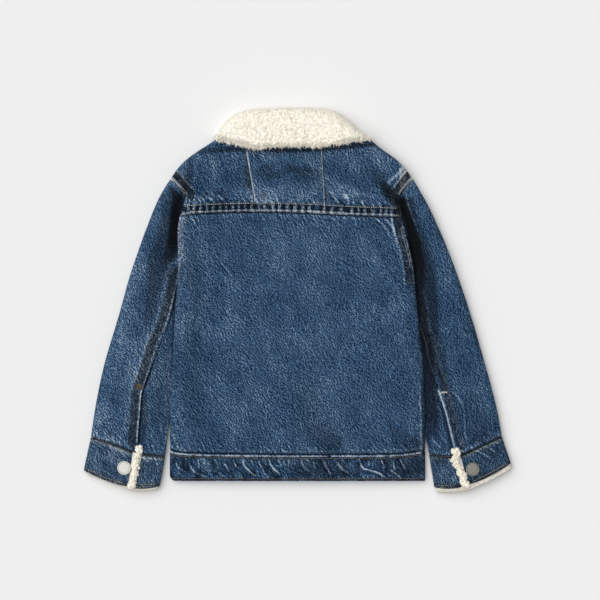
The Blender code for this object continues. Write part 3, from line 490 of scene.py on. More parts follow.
def shades(points, *strokes):
    """How much darker each point is, from strokes of (x, y, half width, depth): painted shade along folds
    and valleys, and some darker patches of the cloth.
    """
    dye_and_shade = np.zeros(len(points))
    for stroke in strokes:
        stroke = np.array(stroke, float)
        nearest = np.full(len(points), np.inf)
        depth = np.zeros(len(points))
        for start, stop in zip(stroke, stroke[1:]):
            run = stop[:2] - start[:2]
            off = points[:, :2] - start[:2]
            t = np.clip(off @ run / (run @ run), 0.0, 1.0)
            half = start[2] + t * (stop[2] - start[2])
            gap = np.hypot(*(off - t[:, None] * run).T) / half
            closer = gap < nearest
            nearest[closer] = gap[closer]
            depth[closer] = (start[3] + t * (stop[3] - start[3]))[closer]
        dye_and_shade = np.maximum(dye_and_shade, depth * ease((1.6 - nearest) / 1.1))
    return dye_and_shade


def carry(mesh, values_by_name):
    """Writes values for each point into a mesh, for its finish to read."""
    for name, values in values_by_name.items():
        layer = mesh.attributes.new(name, "FLOAT", "POINT")
        layer.data.foreach_set("value", np.broadcast_to(values, len(mesh.vertices)).astype(np.float32))


def dress(piece, points, wear, greyed, dye_and_shade, finish, nodes, flat, **cut):
    """Gives a piece its points, wear and finish, and hides the solids it stands for; its flat size and cut
    are not used.
    """
    mesh = piece.data
    points[:, 2] = np.maximum(points[:, 2], 0.0)
    mesh.vertices.foreach_set("co", (points * MM).ravel())
    carry(mesh, {"wear": wear, "greyed": np.clip(greyed, 0.0, 0.9), "dye_and_shade": np.clip(dye_and_shade, 0.0, 0.95)})
    mesh.materials.clear()
    mesh.materials.append(finish)
    mesh.update()
    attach(piece, "root")
    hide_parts(*nodes)


YOKE_SEAM = drawn(
    (-137.2, 103.1), (-117.2, 105.1), (-55.2, 107.1), (2.8, 106.1), (62.8, 103.1), (119.8, 101.1),
    (124, 101.1)
)
HEM_SEAM = drawn(
    (-153.2, -177.0), (-148.9, -179.6), (-135.0, -181.3), (-85.5, -182.6), (0.0, -183.4), (62.8, -183.4),
    (119.8, -182.6), (152.8, -178.6),
)
LEFT_SIDE = drawn(
    (-134.2, 128.1), (-137.2, 114.1), (-141.7, 96.1), (-143.7, 78.1), (-142.7, 58.1), (-142.7, 35.1),
    (-145.2, 4.1), (-148.2, -45.9), (-151.7, -125.9), (-153.2, -186),
)
RIGHT_SIDE = drawn(
    (122.3, 128.1), (123.3, 114.1), (125.3, 96.1), (129.3, 78.1), (134.8, 58.1), (138.8, 35.1),
    (141.3, 4.1), (147.8, -45.9), (151.6, -125.9), (152.8, -186),
)
BODY_HEIGHT = 9.6
UPPER_BODY = ("back_panel", "yoke_left", "yoke_center", "yoke_right")
LOWER_BODY = ("front_left", "front_right", "placket")


def raised_hem(points, weight):
    """The hem's seam is sewn a little askew, so cloth on both sides of it is drawn up."""
    askew = np.interp(points[:, 0], (-153.0, -137.0, -117.0, -55.0, 120.0), (0.9, 1.6, 2.4, 3.0, 3.3))
    points[:, 1] += askew * weight


# Sharp creases that start at the yoke's seam, at the armholes and at the hem, then long
# soft folds of the whole back.
BACK_CREASES = [
    crease(1.5, 0.8, 0.42, (-128.6, 102.0), (-123.9, 95.8), (-123.1, 92.0)),
    crease(1.4, 0.5, 0.26, (-123.1, 102.5), (-119.3, 97.0)),
    crease(1.1, 0.4, 0.16, (-94.9, 100.0), (-85.6, 89.9)),
    crease(1.1, 0.4, 0.18, (-84.8, 98.3), (-78.9, 93.5)),
    crease(1.3, 0.4, 0.20, (-57.0, 105.0), (-53.2, 99.7)),
    crease(1.5, 0.5, 0.26, (-21.6, 104.5), (-13.9, 98.0)),
    crease(1.5, 0.5, 0.24, (-4.1, 104.0), (3.0, 97.5)),
    crease(1.2, 0.4, 0.18, (-9.2, 100.0), (-5.0, 92.3)),
    crease(1.2, 0.5, 0.22, (40.5, 100.9), (49.7, 93.3), (54.8, 88.9)),
    crease(1.2, 0.5, 0.24, (65.7, 101.7), (69.9, 95.0), (71.6, 88.9)),
    crease(1.5, 0.9, 0.34, (92.5, 100.2), (101.1, 93.3), (106.2, 86.5), (111.0, 77.0)),
    crease(1.6, 1.0, 0.40, (103.5, 100.8), (110.4, 93.3), (114.6, 88.1), (117.2, 80.0)),
    crease(1.3, 0.4, 0.14, (-103.0, 60.0), (-91.0, 46.0), (-75.0, 28.0)),
    crease(1.2, 0.3, 0.12, (-88.0, 42.0), (-72.0, 22.0)),
    crease(1.1, 0.3, 0.14, (-129.0, 40.5), (-123.5, 31.0)),
    crease(1.1, 0.3, 0.12, (-122.0, 8.0), (-114.0, -3.0)),
    crease(1.4, 0.5, 0.22, (-116.5, -167.0), (-114.0, -172.0), (-110.5, -178.0)),
    crease(1.3, 0.5, 0.22, (-97.0, -170.0), (-86.5, -177.5)),
    crease(1.2, 0.4, 0.18, (-79.5, -172.5), (-71.0, -179.0)),
    crease(1.3, 0.4, 0.20, (-55.5, -177.0), (-50.5, -181.0)),
    crease(1.3, 0.5, 0.20, (-43.0, -172.5), (-31.0, -180.5)),
    crease(1.3, 0.5, 0.24, (-22.0, -177.0), (-9.0, -181.8)),
    crease(1.5, 0.5, 0.24, (-149.0, -158.0), (-146.5, -170.0), (-142.0, -177.5)),
    crease(1.3, 0.4, 0.18, (52.0, -171.0), (66.0, -180.5)),
    crease(1.3, 0.4, 0.20, (86.0, -166.0), (92.0, -174.0), (101.0, -181.0)),
    crease(1.3, 0.4, 0.18, (120.0, -168.0), (132.0, -179.5)),
    crease(8.0, -1.1, -0.05, (-116.0, 50.0), (-119.0, -10.0), (-121.0, -80.0)),
    crease(12.0, 0.8, 0.02, (-40.0, 60.0), (-8.0, 0.0), (18.0, -62.0)),
    crease(14.0, -0.8, -0.02, (52.0, 30.0), (70.0, -30.0), (96.0, -96.0)),
    crease(11.0, 0.7, 0.02, (-92.0, -60.0), (-70.0, -110.0), (-52.0, -150.0)),
    crease(9.0, 0.9, 0.04, (110.0, 40.0), (122.0, -10.0), (130.0, -70.0)),
    crease(13.0, 0.4, 0.17, (78.0, 66.0), (92.0, 48.0), (100.0, 30.0)),
    crease(13.0, -0.4, -0.15, (-98.0, 34.0), (-97.0, 10.0), (-96.0, -16.0)),
]
BACK_CREASES += puckers(YOKE_SEAM + np.array((0.0, -1.5)), -58.0, 8.5, 7.0, 1.1, 0.35, 0.18, 3)
BACK_CREASES += puckers(HEM_SEAM + np.array((0.0, 1.5)), 118.0, 9.0, 6.5, 1.2, 0.40, 0.18, 4)

back = fine_cloth(
    "back_panel_denim",
    "back_panel",
    FINE_LEVELS,
    covers=LOWER_BODY,
    lines=[YOKE_SEAM, HEM_SEAM, LEFT_SIDE, RIGHT_SIDE]
    + narrow_lines(BACK_CREASES),
)
points, normals = mesh_arrays(back)
raised_hem(points, ease((-150.0 - points[:, 1]) / 30.0))
up = laid_top(points, normals, BODY_HEIGHT)
rise, wear = creased(points, BACK_CREASES)
rise += unevenness(points, 34.0, 0.9, 1) + unevenness(points, 11.0, 0.25, 2)
# The cloth dips below the yoke's lap and above the hem, and the armhole's felled band runs
# on down both sides to the underarm, wider on the right, where its inner fold is worn.
below_yoke = -beside(points, YOKE_SEAM)
above_hem = beside(points, HEM_SEAM)
from_left, from_right = beside(points, LEFT_SIDE), -beside(points, RIGHT_SIDE)
left_band = ease((9.5 - from_left) / 1.5) * ease((points[:, 1] - 8.0) / 40.0)
right_band = ease((11.0 - from_right) / 1.2) * ease((points[:, 1] - 14.0) / 12.0)
lower_right = ease((-80.0 - points[:, 1]) / 30.0)
mottled = unevenness(points, 3.2, 1.0, 51)
rise -= 0.9 * bell(below_yoke, 0.2, 0.9) + 0.9 * bell(above_hem, 0.3, 1.0)
rise += 0.5 * left_band + 0.8 * right_band
wear += 0.10 * bell(above_hem, 3.0, 1.8) + 0.06 * bell(below_yoke, 3.2, 2.0)
wear += left_band * (0.09 + 0.20 * mottled) + right_band * (0.0 + 0.34 * mottled)
wear += 0.14 * bell(from_left, 0.9, 0.8) * ease((points[:, 1] - 20.0) / 20.0)
right_worn = 0.44 * bell(from_right, 12.0, 1.1) + 0.30 * bell(from_right, 0.8, 0.7)
wear += right_worn * ease((points[:, 1] - 14.0) / 12.0)
wear += 0.36 * bell(from_right, 4.6, 1.0) * ease((-90.0 - points[:, 1]) / 20.0)
greyed = 0.3 * left_band + 0.35 * right_band
# Painted shade: dark lines where the cloth dips under the yoke's lap and above the hem, along the right
# band's fold and the lower right fold, and strokes in the valleys beside the sleeves; a few broad strokes
# are darker patches of the cloth.
dye_and_shade = 0.66 * bell(below_yoke, 0.0, 1.1) + 0.46 * bell(above_hem, 0.0, 0.8)
lower_fold_shade = 0.35 * ease((3.6 - from_right) / 2.4) * lower_right
dye_and_shade += right_band * 0.32 * ease((from_right - 1.8) / 1.0) + lower_fold_shade
dye_and_shade = np.maximum(
    dye_and_shade,
    shades(
        points,
        ((122.0, 101.0, 5.0, 0.45), (130.0, 98.0, 6.5, 0.6), (136.0, 84.0, 3.6, 0.55)),
        ((122.0, -162.0, 12.0, 0.12), (140.0, -174.0, 11.0, 0.24)),
        ((10.0, -110.0, 14.0, 0.08), (12.0, -150.0, 14.0, 0.18), (40.0, -168.0, 14.0, 0.22)),
        ((143.0, 18.0, 3.0, 0.42), (147.0, -20.0, 3.0, 0.4), (149.0, -60.0, 2.4, 0.25)),
        ((-126.0, 62.0, 9.0, 0.08), (-122.0, 20.0, 11.0, 0.10), (-124.0, -60.0, 12.0, 0.08),
         (-128.0, -140.0, 10.0, 0.05)),
    ),
)
for row in (78.0, 62.0, 50.0):
    patch = np.hypot(from_right - 7.0, points[:, 1] - row) / 2.4
    wear += 0.34 * np.exp(-(patch**2)) * right_band
# Its side edges lie against the sleeves down to the elbow.
shut = ease((points[:, 2] - 1.0) / 2.0) * (0.9 + 0.9 * bell(points[:, 1], -128.0, 18.0))
points[:, 0] -= bell(from_left, 0.0, 1.8) * shut * ease((points[:, 1] + 190.0) / 30.0)
points[:, 0] += bell(from_right, 0.0, 1.8) * shut * ease((points[:, 1] + 180.0) / 14.0)
points[:, 2] += rise * up
dress(
    back,
    points,
    wear - 0.03,
    greyed,
    dye_and_shade,
    denim("back denim"),
    ["back_panel"],
    (0.308, 0.294),
    rests_on=["front_left", "front_right"],
)

# ---------------------------------------------------------------- yoke
# Three denim panels below the collar, sewn with single topstitched seams. Their lower edge
# is felled over the back and stitched twice, so it stands proud and puckers like a ladder.

YOKE_SEAM_LEFT = drawn((-65.2, 201.1), (-62.7, 184.1), (-51.2, 114.1), (-50.2, 102.1))
YOKE_SEAM_RIGHT = drawn((28.3, 201.1), (29.3, 184.1), (33.3, 114.1), (33.8, 102.1))
LEFT_ARMHOLE = drawn((-155.0, 151.2), (-152.2, 148.1), (-142.7, 138.1), (-134.2, 128.1))
RIGHT_ARMHOLE = drawn((140.8, 151.2), (137.8, 148.1), (129.8, 138.1), (122.3, 128.1))
UPPER_ROW = 10.6
LOWER_ROW = 2.2

# The ladder's rungs between the two rows of stitches: x, lean, and how strong each is.
LADDER = (
    (-130.5, 1.5, 1.0), (-124.5, -1.5, 1.2), (-116.0, -1.0, 1.0), (-108.4, 1.0, 0.9),
    (-101.3, -1.6, 1.1), (-92.4, -0.6, 1.1), (-86.0, 0.4, 1.0), (-77.6, 0.3, 1.0), (-70.4, 0.2, 1.0),
    (-62.8, 0.0, 0.9), (-55.4, 0.2, 0.9), (-46.0, 0.0, 0.7), (-40.0, 0.5, 0.8), (-29.2, 0.6, 1.0),
    (-21.7, -0.6, 1.0), (-12.3, 0.4, 1.0), (-2.9, 0.0, 1.2), (6.4, -0.6, 1.1), (14.0, 0.3, 1.1),
    (24.0, 0.0, 0.3), (32.0, 0.2, 1.0), (41.0, -1.6, 1.0), (51.4, -1.0, 0.8), (54.0, 1.0, 0.6),
    (65.2, 0.3, 1.1), (72.9, -0.2, 1.1), (80.1, 0.0, 1.2), (89.2, 0.6, 1.0), (92.8, -0.8, 0.7),
    (100.2, -0.8, 1.0), (106.0, -0.6, 1.2), (112.0, 0.0, 0.7),
)


def laid_cloth(piece, above, creases):
    """A piece's points, how far each is on its upper face, and the rise and wear of its creases."""
    points, normals = mesh_arrays(piece)
    return points, laid_top(points, normals, above), *creased(points, creases)


YOKE_CREASES = [
    crease(1.8, 0.9, 0.51, (-108.4, 125.3), (-104.0, 122.6), (-100.8, 119.6)),
    crease(1.6, 0.9, 0.54, (-95.7, 127.8), (-91.0, 123.4), (-88.0, 119.4)),
    crease(1.3, 0.4, 0.27, (-79.7, 127.0), (-74.7, 121.9)),
    crease(1.4, 0.3, 0.33, (-54.5, 128.6), (-55.3, 121.0)),
    crease(1.6, 1.0, 0.54, (37.1, 132.9), (44.7, 123.6), (48.9, 117.6)),
    crease(1.7, 1.0, 0.57, (55.6, 130.3), (60.7, 121.1), (61.0, 115.2)),
    crease(1.5, 0.6, 0.39, (64.0, 119.8), (69.1, 115.6)),
    crease(1.7, 0.9, 0.54, (75.0, 121.5), (80.0, 115.2)),
    crease(1.4, 0.6, 0.36, (77.5, 122.8), (84.2, 116.4)),
    crease(1.4, 0.6, 0.39, (86.8, 118.5), (92.7, 113.0)),
    crease(1.5, 0.7, 0.45, (96.0, 119.8), (99.6, 114.6)),
    crease(1.1, 0.4, 0.27, (19.4, 132.0), (23.0, 127.6)),
    crease(4.0, 1.3, 0.08, (-120.6, 176.0), (-121.4, 158.0), (-124.4, 140.0), (-130.0, 124.0)),
    crease(2.3, 1.1, 0.36, (126.4, 160.0), (119.0, 151.0), (111.3, 145.0), (108.0, 137.0)),
    crease(4.5, 0.6, 0.20, (-52.0, 166.0), (-49.0, 154.0), (-46.0, 140.0)),
    crease(3.0, 0.5, 0.16, (-22.0, 162.0), (-21.0, 152.0), (-22.0, 142.0)),
    crease(3.0, 0.5, 0.16, (3.0, 160.0), (3.0, 150.0), (1.0, 138.0)),
    crease(8.0, -1.0, -0.08, (80.0, 172.0), (92.0, 156.0), (104.0, 132.0)),
    crease(10.0, 0.6, 0.02, (-112.0, 178.0), (-98.0, 150.0), (-84.0, 130.0)),
    crease(12.0, 0.7, 0.05, (48.0, 180.0), (64.0, 156.0), (78.0, 132.0)),
    crease(15.0, 0.3, 0.30, (-58.0, 132.0), (-34.0, 126.0), (-8.0, 128.0)),
    crease(10.0, 0.3, 0.22, (38.0, 142.0), (56.0, 132.0), (84.0, 120.0)),
    crease(9.0, 0.3, 0.26, (-128.0, 119.0), (-104.0, 122.0)),
    crease(11.0, 0.3, 0.20, (-98.0, 134.0), (-76.0, 124.0)),
]
YOKE_CREASES += puckers(YOKE_SEAM + np.array((0.0, 12.0)), 116.0, 7.0, 7.0, 1.1, 0.35, 0.18, 12)
seam_x, seam_y = YOKE_SEAM[:, 0], YOKE_SEAM[:, 1]
for x, lean, strength in LADDER:
    foot = float(np.interp(x, seam_x, seam_y))
    rung = ((x - lean / 2.0, foot + 9.6), (x, foot + 6.4), (x + lean / 2.0, foot + 3.2))
    YOKE_CREASES.append(crease(2.2, 0.9 * strength, 0.76 * strength, *rung))
YOKE_LINES = [YOKE_SEAM, moved(YOKE_SEAM, 6.0), moved(YOKE_SEAM, 11.5), YOKE_SEAM_LEFT, YOKE_SEAM_RIGHT]
YOKE_LINES += [LEFT_ARMHOLE, RIGHT_ARMHOLE] + narrow_lines(YOKE_CREASES)

# Strokes of (x, y, half width, depth): painted shade in the valleys at both armholes, soft darker bands of
# the cloth across the middle panel, and a painted shadow of the collar's free edge along the last stroke.
YOKE_SHADES = (
    ((-127.0, 172.0, 3.0, 0.12), (-129.2, 155.3, 4.5, 0.24), (-132.8, 139.7, 5.0, 0.42),
     (-136.4, 130.0, 4.0, 0.54)),
    ((102.0, 140.0, 4.0, 0.40), (108.0, 133.0, 6.0, 0.64), (113.5, 127.0, 7.0, 0.70),
     (121.0, 117.5, 6.0, 0.72), (121.0, 104.0, 5.0, 0.5)),
    ((86.0, 158.0, 7.0, 0.10), (96.0, 152.0, 7.0, 0.20), (101.0, 142.0, 5.0, 0.20)),
    ((-38.0, 160.0, 5.0, 0.26), (-36.0, 153.0, 5.0, 0.26)),
    ((-7.0, 161.0, 4.0, 0.24), (-5.0, 151.0, 4.0, 0.24)),
    ((11.0, 157.0, 5.0, 0.28), (13.0, 147.0, 5.0, 0.26)),
    ((-45.0, 129.0, 4.0, 0.22), (-40.0, 126.5, 3.5, 0.22)),
    ((-118.0, 180.5, 3.0, 0.30), (-60.0, 183.0, 3.0, 0.40), (-20.0, 181.5, 3.0, 0.45),
     (30.0, 183.0, 3.0, 0.45), (98.0, 189.5, 3.0, 0.40)),
)
for side, flat in (("left", (0.104, 0.102)), ("center", (0.100, 0.098)), ("right", (0.110, 0.102))):
    node = "yoke_" + side
    panel = fine_cloth(
        node + "_denim", node, FINE_LEVELS, covers=LOWER_BODY, lines=YOKE_LINES, reach=(7.0, 3.6, 1.3)
    )
    points, up, rise, wear = laid_cloth(panel, BODY_HEIGHT, YOKE_CREASES)
    rise += unevenness(points, 30.0, 0.9, 5) + unevenness(points, 10.0, 0.25, 6)
    mottled = unevenness(points, 3.0, 1.0, 52)
    lap = beside(points, YOKE_SEAM)
    in_band = ease((11.4 - lap) / 0.8) * ease((lap - 3.4) / 0.8)
    roped = ease((4.0 - lap) / 0.8)
    rise += 0.45 * bell(lap, 0.8, 0.8) - 0.40 * bell(lap, LOWER_ROW, 0.8) - 0.40 * bell(lap, UPPER_ROW, 0.8)
    wear += roped * (0.34 + 0.20 * mottled) + 0.26 * bell(lap, 12.6, 1.6) - 0.15 * in_band
    greyed = 0.55 * roped + 0.30 * in_band + 0.35 * bell(lap, 11.6, 1.3)
    # Darker in the felled band; painted shade beside each panel seam's raised edge and inside the armhole
    # caps, and the strokes above.
    dye_and_shade = 0.16 * in_band
    for seam, stitch_side, bright in ((YOKE_SEAM_LEFT, 1.0, 0.78), (YOKE_SEAM_RIGHT, -1.0, 0.42)):
        off = beside(points, seam) * stitch_side
        above_band = ease((lap - 11.0) / 3.0)
        rise += (0.45 * bell(off, 0.5, 1.1) - 0.45 * bell(off, -1.6, 0.8)) * above_band
        wear += (bright * bell(off, 0.7, 0.7) + 0.10 * bell(off, -3.2, 1.6)) * above_band
        dye_and_shade += 0.18 * bell(off, -0.8, 0.8) * above_band
        greyed += 0.35 * bell(off, 0.0, 2.0) * above_band
    for armhole, inward in ((LEFT_ARMHOLE, 1.0), (RIGHT_ARMHOLE, -1.0)):
        off = beside(points, armhole) * inward
        in_cap = ease((11.4 - np.abs(off)) / 1.2)
        rise += 0.7 * in_cap - 0.4 * bell(off, 2.4, 0.7) - 0.4 * bell(off, 10.4, 0.7)
        wear += 0.80 * bell(off, 0.9, 0.8) + 0.22 * bell(off, 11.4, 1.2) + in_cap * 0.42 * mottled
        dye_and_shade += 0.50 * in_cap * ease((off - 2.2) / 0.8)
        greyed += 0.15 * in_cap
    dye_and_shade = np.maximum(dye_and_shade, shades(points, *YOKE_SHADES))
    points[:, 2] += (rise - 3.0 * shades(points, YOKE_SHADES[1])) * up
    dress(
        panel,
        points,
        wear,
        greyed,
        dye_and_shade,
        denim(node + " denim", fade=0.02 if side == "center" else -0.01, contrast=1.1),
        [node],
        flat,
        rests_on=["front_left", "front_right"],
    )

# ---------------------------------------------------------------- fronts, placket and under collar
# The two front panels lie on the table with the snapped placket between them, and the
# denim under collar lies level with them at the neck. All are plain denim.

for node, flat, covers in (
    ("front_left", (0.139, 0.380), UPPER_BODY),
    ("front_right", (0.139, 0.380), UPPER_BODY),
    ("placket", (0.032, 0.342), UPPER_BODY),
    ("under_collar", (0.122, 0.044), ()),
):
    panel = fine_cloth(node + "_denim", node, FINE_LEVELS - 1, covers=covers)
    points, normals = mesh_arrays(panel)
    mottled = 0.05 * unevenness(points, 24.0, 1.0, 8)
    dress(panel, points, mottled, 0.0, 0.0, denim(node + " denim"), [node], flat)

# ---------------------------------------------------------------- hem band
# A straight strip of doubled denim round the hem. Its roped upper edge is worn pale, both
# edges are topstitched, and the turned seam inside pulls slanting creases across it.

BAND_TOP = moved(HEM_SEAM, -0.9)
BAND_BOTTOM = drawn(
    (-153.6, -206.0), (-152.4, -212.0), (-147.0, -215.4), (-100, -215.7), (26, -215.7), (113, -215.7),
    (153.4, -215.7)
)
BAND_HEIGHT = 6.2
BAND_CORNER = (-146.6, -208.8)


def rounded(points, corner, outward, reach=np.inf):
    """Draws points beyond a square corner, lower down and to one side of it, in to a round one."""
    away = points[:, :2] - corner
    distance = np.hypot(away[:, 0], away[:, 1])
    outside = (away[:, 0] * outward > 0.0) & (away[:, 1] < 0.0) & (distance < reach)
    span = np.maximum(np.abs(away).max(1), 1e-6)
    squeeze = np.where(outside, span / np.maximum(distance, 1e-6), 1.0)
    points[:, :2] = corner + away * squeeze[:, None]


BAND_CREASES = [
    crease(1.3, 1.2, 0.49, (-147.3, -191.2), (-143.3, -199.6), (-134.3, -204.0)),
    crease(1.3, 1.0, 0.38, (-134.3, -188.2), (-134.3, -200.1)),
    crease(1.5, 1.3, 0.53, (-131.0, -193.2), (-125.4, -203.1), (-113.4, -209.6), (-106.5, -212.1)),
    crease(1.2, 0.7, 0.35, (-119.4, -188.2), (-117.9, -200.1)),
    crease(1.2, 0.7, 0.35, (-100.5, -188.7), (-95.0, -195.8)),
    crease(1.3, 1.3, 0.58, (-89.2, -193.2), (-85.0, -199.0), (-81.6, -205.1)),
    crease(1.3, 1.1, 0.44, (-100.2, -202.6), (-89.0, -209.2)),
    crease(1.3, 1.0, 0.47, (-76.9, -191.2), (-74.6, -197.1), (-67.7, -201.0)),
    crease(1.5, 1.5, 0.62, (-66.7, -188.4), (-63.7, -197.1), (-53.7, -207.1), (-46.0, -209.6)),
    crease(1.2, 0.7, 0.38, (-56.7, -188.8), (-53.4, -196.8)),
    crease(1.3, 1.2, 0.53, (-46.8, -191.6), (-43.8, -198.1), (-39.0, -207.0)),
    crease(1.5, 1.5, 0.64, (-34.4, -189.2), (-30.8, -198.1), (-21.4, -207.6)),
    crease(1.2, 0.7, 0.35, (-23.2, -190.4), (-19.6, -197.6)),
    crease(1.2, 0.7, 0.35, (-10.9, -188.9), (-10.6, -198.6)),
    crease(1.3, 1.1, 0.49, (4.4, -189.6), (7.1, -198.4), (14.0, -203.6)),
    crease(1.2, 0.7, 0.35, (19.0, -192.2), (21.4, -201.4)),
    crease(1.3, 1.2, 0.55, (30.5, -190.0), (35.1, -199.4), (39.5, -207.6)),
    crease(1.5, 1.5, 0.62, (44.9, -190.4), (54.7, -202.0), (65.0, -207.6)),
    crease(1.2, 0.7, 0.35, (60.4, -191.4), (65.4, -198.0)),
    crease(1.5, 1.7, 0.67, (73.4, -189.6), (78.5, -199.9), (85.7, -202.5), (97.1, -206.1), (107.0, -212.0)),
    crease(1.2, 0.7, 0.38, (86.4, -189.6), (84.8, -198.4)),
    crease(1.3, 1.0, 0.47, (100.8, -190.2), (104.6, -200.4)),
    crease(1.3, 1.0, 0.49, (114.4, -190.4), (116.9, -202.0)),
    crease(1.3, 1.1, 0.47, (109.8, -201.9), (116.7, -205.6), (122.9, -211.4)),
    crease(1.3, 1.2, 0.55, (123.6, -189.9), (130.6, -204.0)),
    crease(1.3, 0.9, 0.38, (129.8, -205.0), (134.8, -211.4)),
]
BAND_CREASES += puckers(BAND_BOTTOM[4:] + np.array((0.0, 3.4)), 112.0, 6.0, 6.0, 1.1, 0.4, 0.20, 22)
BAND_CREASES += puckers(BAND_TOP - np.array((0.0, 5.0)), -72.0, 5.0, 6.0, 1.1, 0.4, 0.20, 23)

band_piece = fine_cloth(
    "hem_band_denim",
    "waistband",
    FINE_LEVELS + 1,
    covers=["waistband"],
    lines=[BAND_TOP, BAND_BOTTOM] + [fold.line for fold in BAND_CREASES],
    reach=(4.0, 2.4),
)
points, normals = mesh_arrays(band_piece)
raised_hem(points, ease((points[:, 1] + 214.0) / 26.0))
up = laid_top(points, normals, BAND_HEIGHT)
rise, wear = creased(points, BAND_CREASES)
from_top = -beside(points, BAND_TOP)
from_bottom = beside(points, BAND_BOTTOM)
mottled = unevenness(points, 4.0, 1.0, 53)
rise += unevenness(points, 18.0, 0.5, 9) + unevenness(points, 6.0, 0.5, 10)
rise += 1.0 * bell(from_top, 1.5, 1.0) - 0.55 * bell(from_top, 4.0, 0.9) - 0.5 * bell(from_bottom, 2.6, 0.9)
wear += (0.66 + 0.12 * mottled) * bell(from_top, 1.5, 1.0) + 0.12 * bell(from_bottom, 0.3, 0.6)
wear += 0.30 * unevenness(points, 8.0, 1.0, 54)
# Painted shade in the groove by the upper row of stitches, along the foot of the band and just above its
# top edge; random darker patches of the cloth, and broad darker strokes below.
dye_and_shade = 0.55 * bell(from_top, 4.0, 0.9) + 0.36 * ease(unevenness(points, 9.0, 1.8, 58) - 0.10)
dye_and_shade += 0.45 * bell(from_bottom, 1.8, 1.2)
dye_and_shade += 0.2 * bell(from_top, -0.8, 0.6)
greyed = 0.75 * bell(from_top, 4.0, 1.4) + 0.6 * bell(from_bottom, 1.8, 1.6)
dye_and_shade = np.maximum(
    dye_and_shade,
    shades(
        points,
        ((2.0, -202.0, 13.0, 0.20), (28.0, -203.0, 14.0, 0.28), (52.0, -204.0, 12.0, 0.24)),
        ((112.0, -200.0, 13.0, 0.20), (148.0, -200.0, 12.0, 0.34)),
    ),
)
points[:, 2] += rise * up
# The turned-in corner at the left end is rounded.
rounded(points, BAND_CORNER, -1.0)
dress(
    band_piece,
    points,
    wear - 0.08,
    greyed,
    dye_and_shade,
    denim("hem band denim", streak_angle=132.0, contrast=1.1),
    ["waistband"],
    (0.630, 0.034),
)

# ---------------------------------------------------------------- sleeves
# Each sleeve is an upper and an under piece, felled together down the back of the arm with
# two rows of stitches. The sleeve falls steeply beside the body, where painted shade darkens it.

LEFT_SLEEVE_SEAM = drawn(
    (-143.4, 36.0), (-146.0, 13.7), (-149.8, -1.6), (-154.4, -19.9), (-159.7, -33.7), (-168.9, -55.1),
    (-175.0, -74.2), (-181.9, -94.8), (-186.7, -107.5), (-188.1, -121.8), (-189.3, -137.1),
    (-191.0, -152.4), (-191.8, -167.7),
)
RIGHT_SLEEVE_SEAM = drawn(
    (141.8, 2.0), (143.6, -18.0), (145.9, -31.8), (151.7, -49.5), (155.1, -68.8), (162.7, -90.7),
    (169.4, -107.6), (171.8, -114.5), (177.3, -131.0), (180.3, -143.3), (183.4, -155.5), (188.6, -176.5),
)
LEFT_CUFF_SEAM = drawn(
    (-248.8, -162.8), (-225.0, -169.6), (-197.6, -180.1), (-184.4, -183.2), (-159.2, -186.1)
)
RIGHT_CUFF_SEAM = drawn((245.6, -161.6), (225.0, -171.0), (194.4, -184.4), (176.0, -185.6), (157.8, -183.4))
LEFT_INNER = drawn(
    (-135, 127.5), (-142.6, 98.6), (-144.7, 78), (-144.0, 35), (-149.0, -40), (-152.6, -115), (-159.2, -186)
)
RIGHT_INNER = drawn(
    (123.2, 127.4), (126.4, 97.6), (136.0, 56.6), (141.6, 12.6), (149.2, -50), (152.6, -115), (157.7, -184)
)
SLEEVE_HEIGHT = 7.8
# How far down the felled seam its worn rope gives way, or begins, on either sleeve.
ROPE_CHANGE = -108.0
SLEEVE_CREASES = {
    "left": [
        crease(1.2, 0.6, 0.26, (-175.8, -6.2), (-172.0, -12.0), (-168.9, -17.5)),
        crease(1.2, 0.3, 0.14, (-210.9, -62.7), (-207.9, -73.0)),
        crease(1.2, 0.4, 0.18, (-176.5, -152.4), (-170.5, -162.0)),
        crease(1.3, 0.6, 0.26, (-175.3, -171.0), (-171.6, -181.2)),
        crease(1.2, 0.5, 0.24, (-180.2, -167.5), (-177.1, -181.2)),
        crease(2.2, 0.9, 0.22, (-156.0, -150.0), (-157.6, -163.0), (-159.8, -176.0)),
        crease(1.2, 0.4, 0.18, (-214.0, -160.0), (-208.5, -170.5)),
        crease(1.2, 0.4, 0.18, (-231.0, -152.0), (-224.0, -166.0)),
        crease(9.0, 0.8, 0.03, (-190.0, 60.0), (-202.0, 10.0), (-216.0, -60.0)),
        crease(10.0, -0.7, -0.03, (-214.0, -70.0), (-220.0, -110.0), (-224.0, -150.0)),
        crease(9.0, 0.7, 0.09, (-222.0, -70.0), (-228.0, -110.0), (-234.0, -140.0)),
    ],
    "right": [
        crease(1.8, 0.9, 0.26, (126.4, 133.0), (130.6, 126.0), (132.4, 117.0), (136.0, 105.0),
               (141.5, 91.0)),
        crease(1.6, 0.9, 0.34, (184.6, -106.0), (192.0, -114.5), (196.9, -121.8), (199.4, -129.0)),
        crease(1.5, 0.8, 0.26, (199.4, -128.0), (200.0, -143.3), (200.8, -158.0), (203.8, -167.0)),
        crease(1.2, 0.4, 0.16, (176.0, -30.0), (181.0, -38.0)),
        crease(1.4, 0.6, 0.24, (160.0, -160.0), (165.0, -170.0), (173.0, -177.0)),
        crease(1.4, 0.6, 0.22, (166.0, -152.0), (176.0, -166.0), (182.0, -174.0)),
        crease(1.3, 0.5, 0.22, (154.4, -164.7), (158.6, -177.5)),
        crease(9.0, 0.8, 0.03, (180.0, 60.0), (192.0, 10.0), (208.0, -60.0)),
        crease(10.0, 0.7, 0.02, (214.0, -90.0), (222.0, -120.0), (228.0, -156.0)),
    ],
}
SLEEVE_CREASES["left"] += puckers(LEFT_CUFF_SEAM[:26], 112.0, 12.0, 6.5, 1.3, 0.5, 0.22, 31)
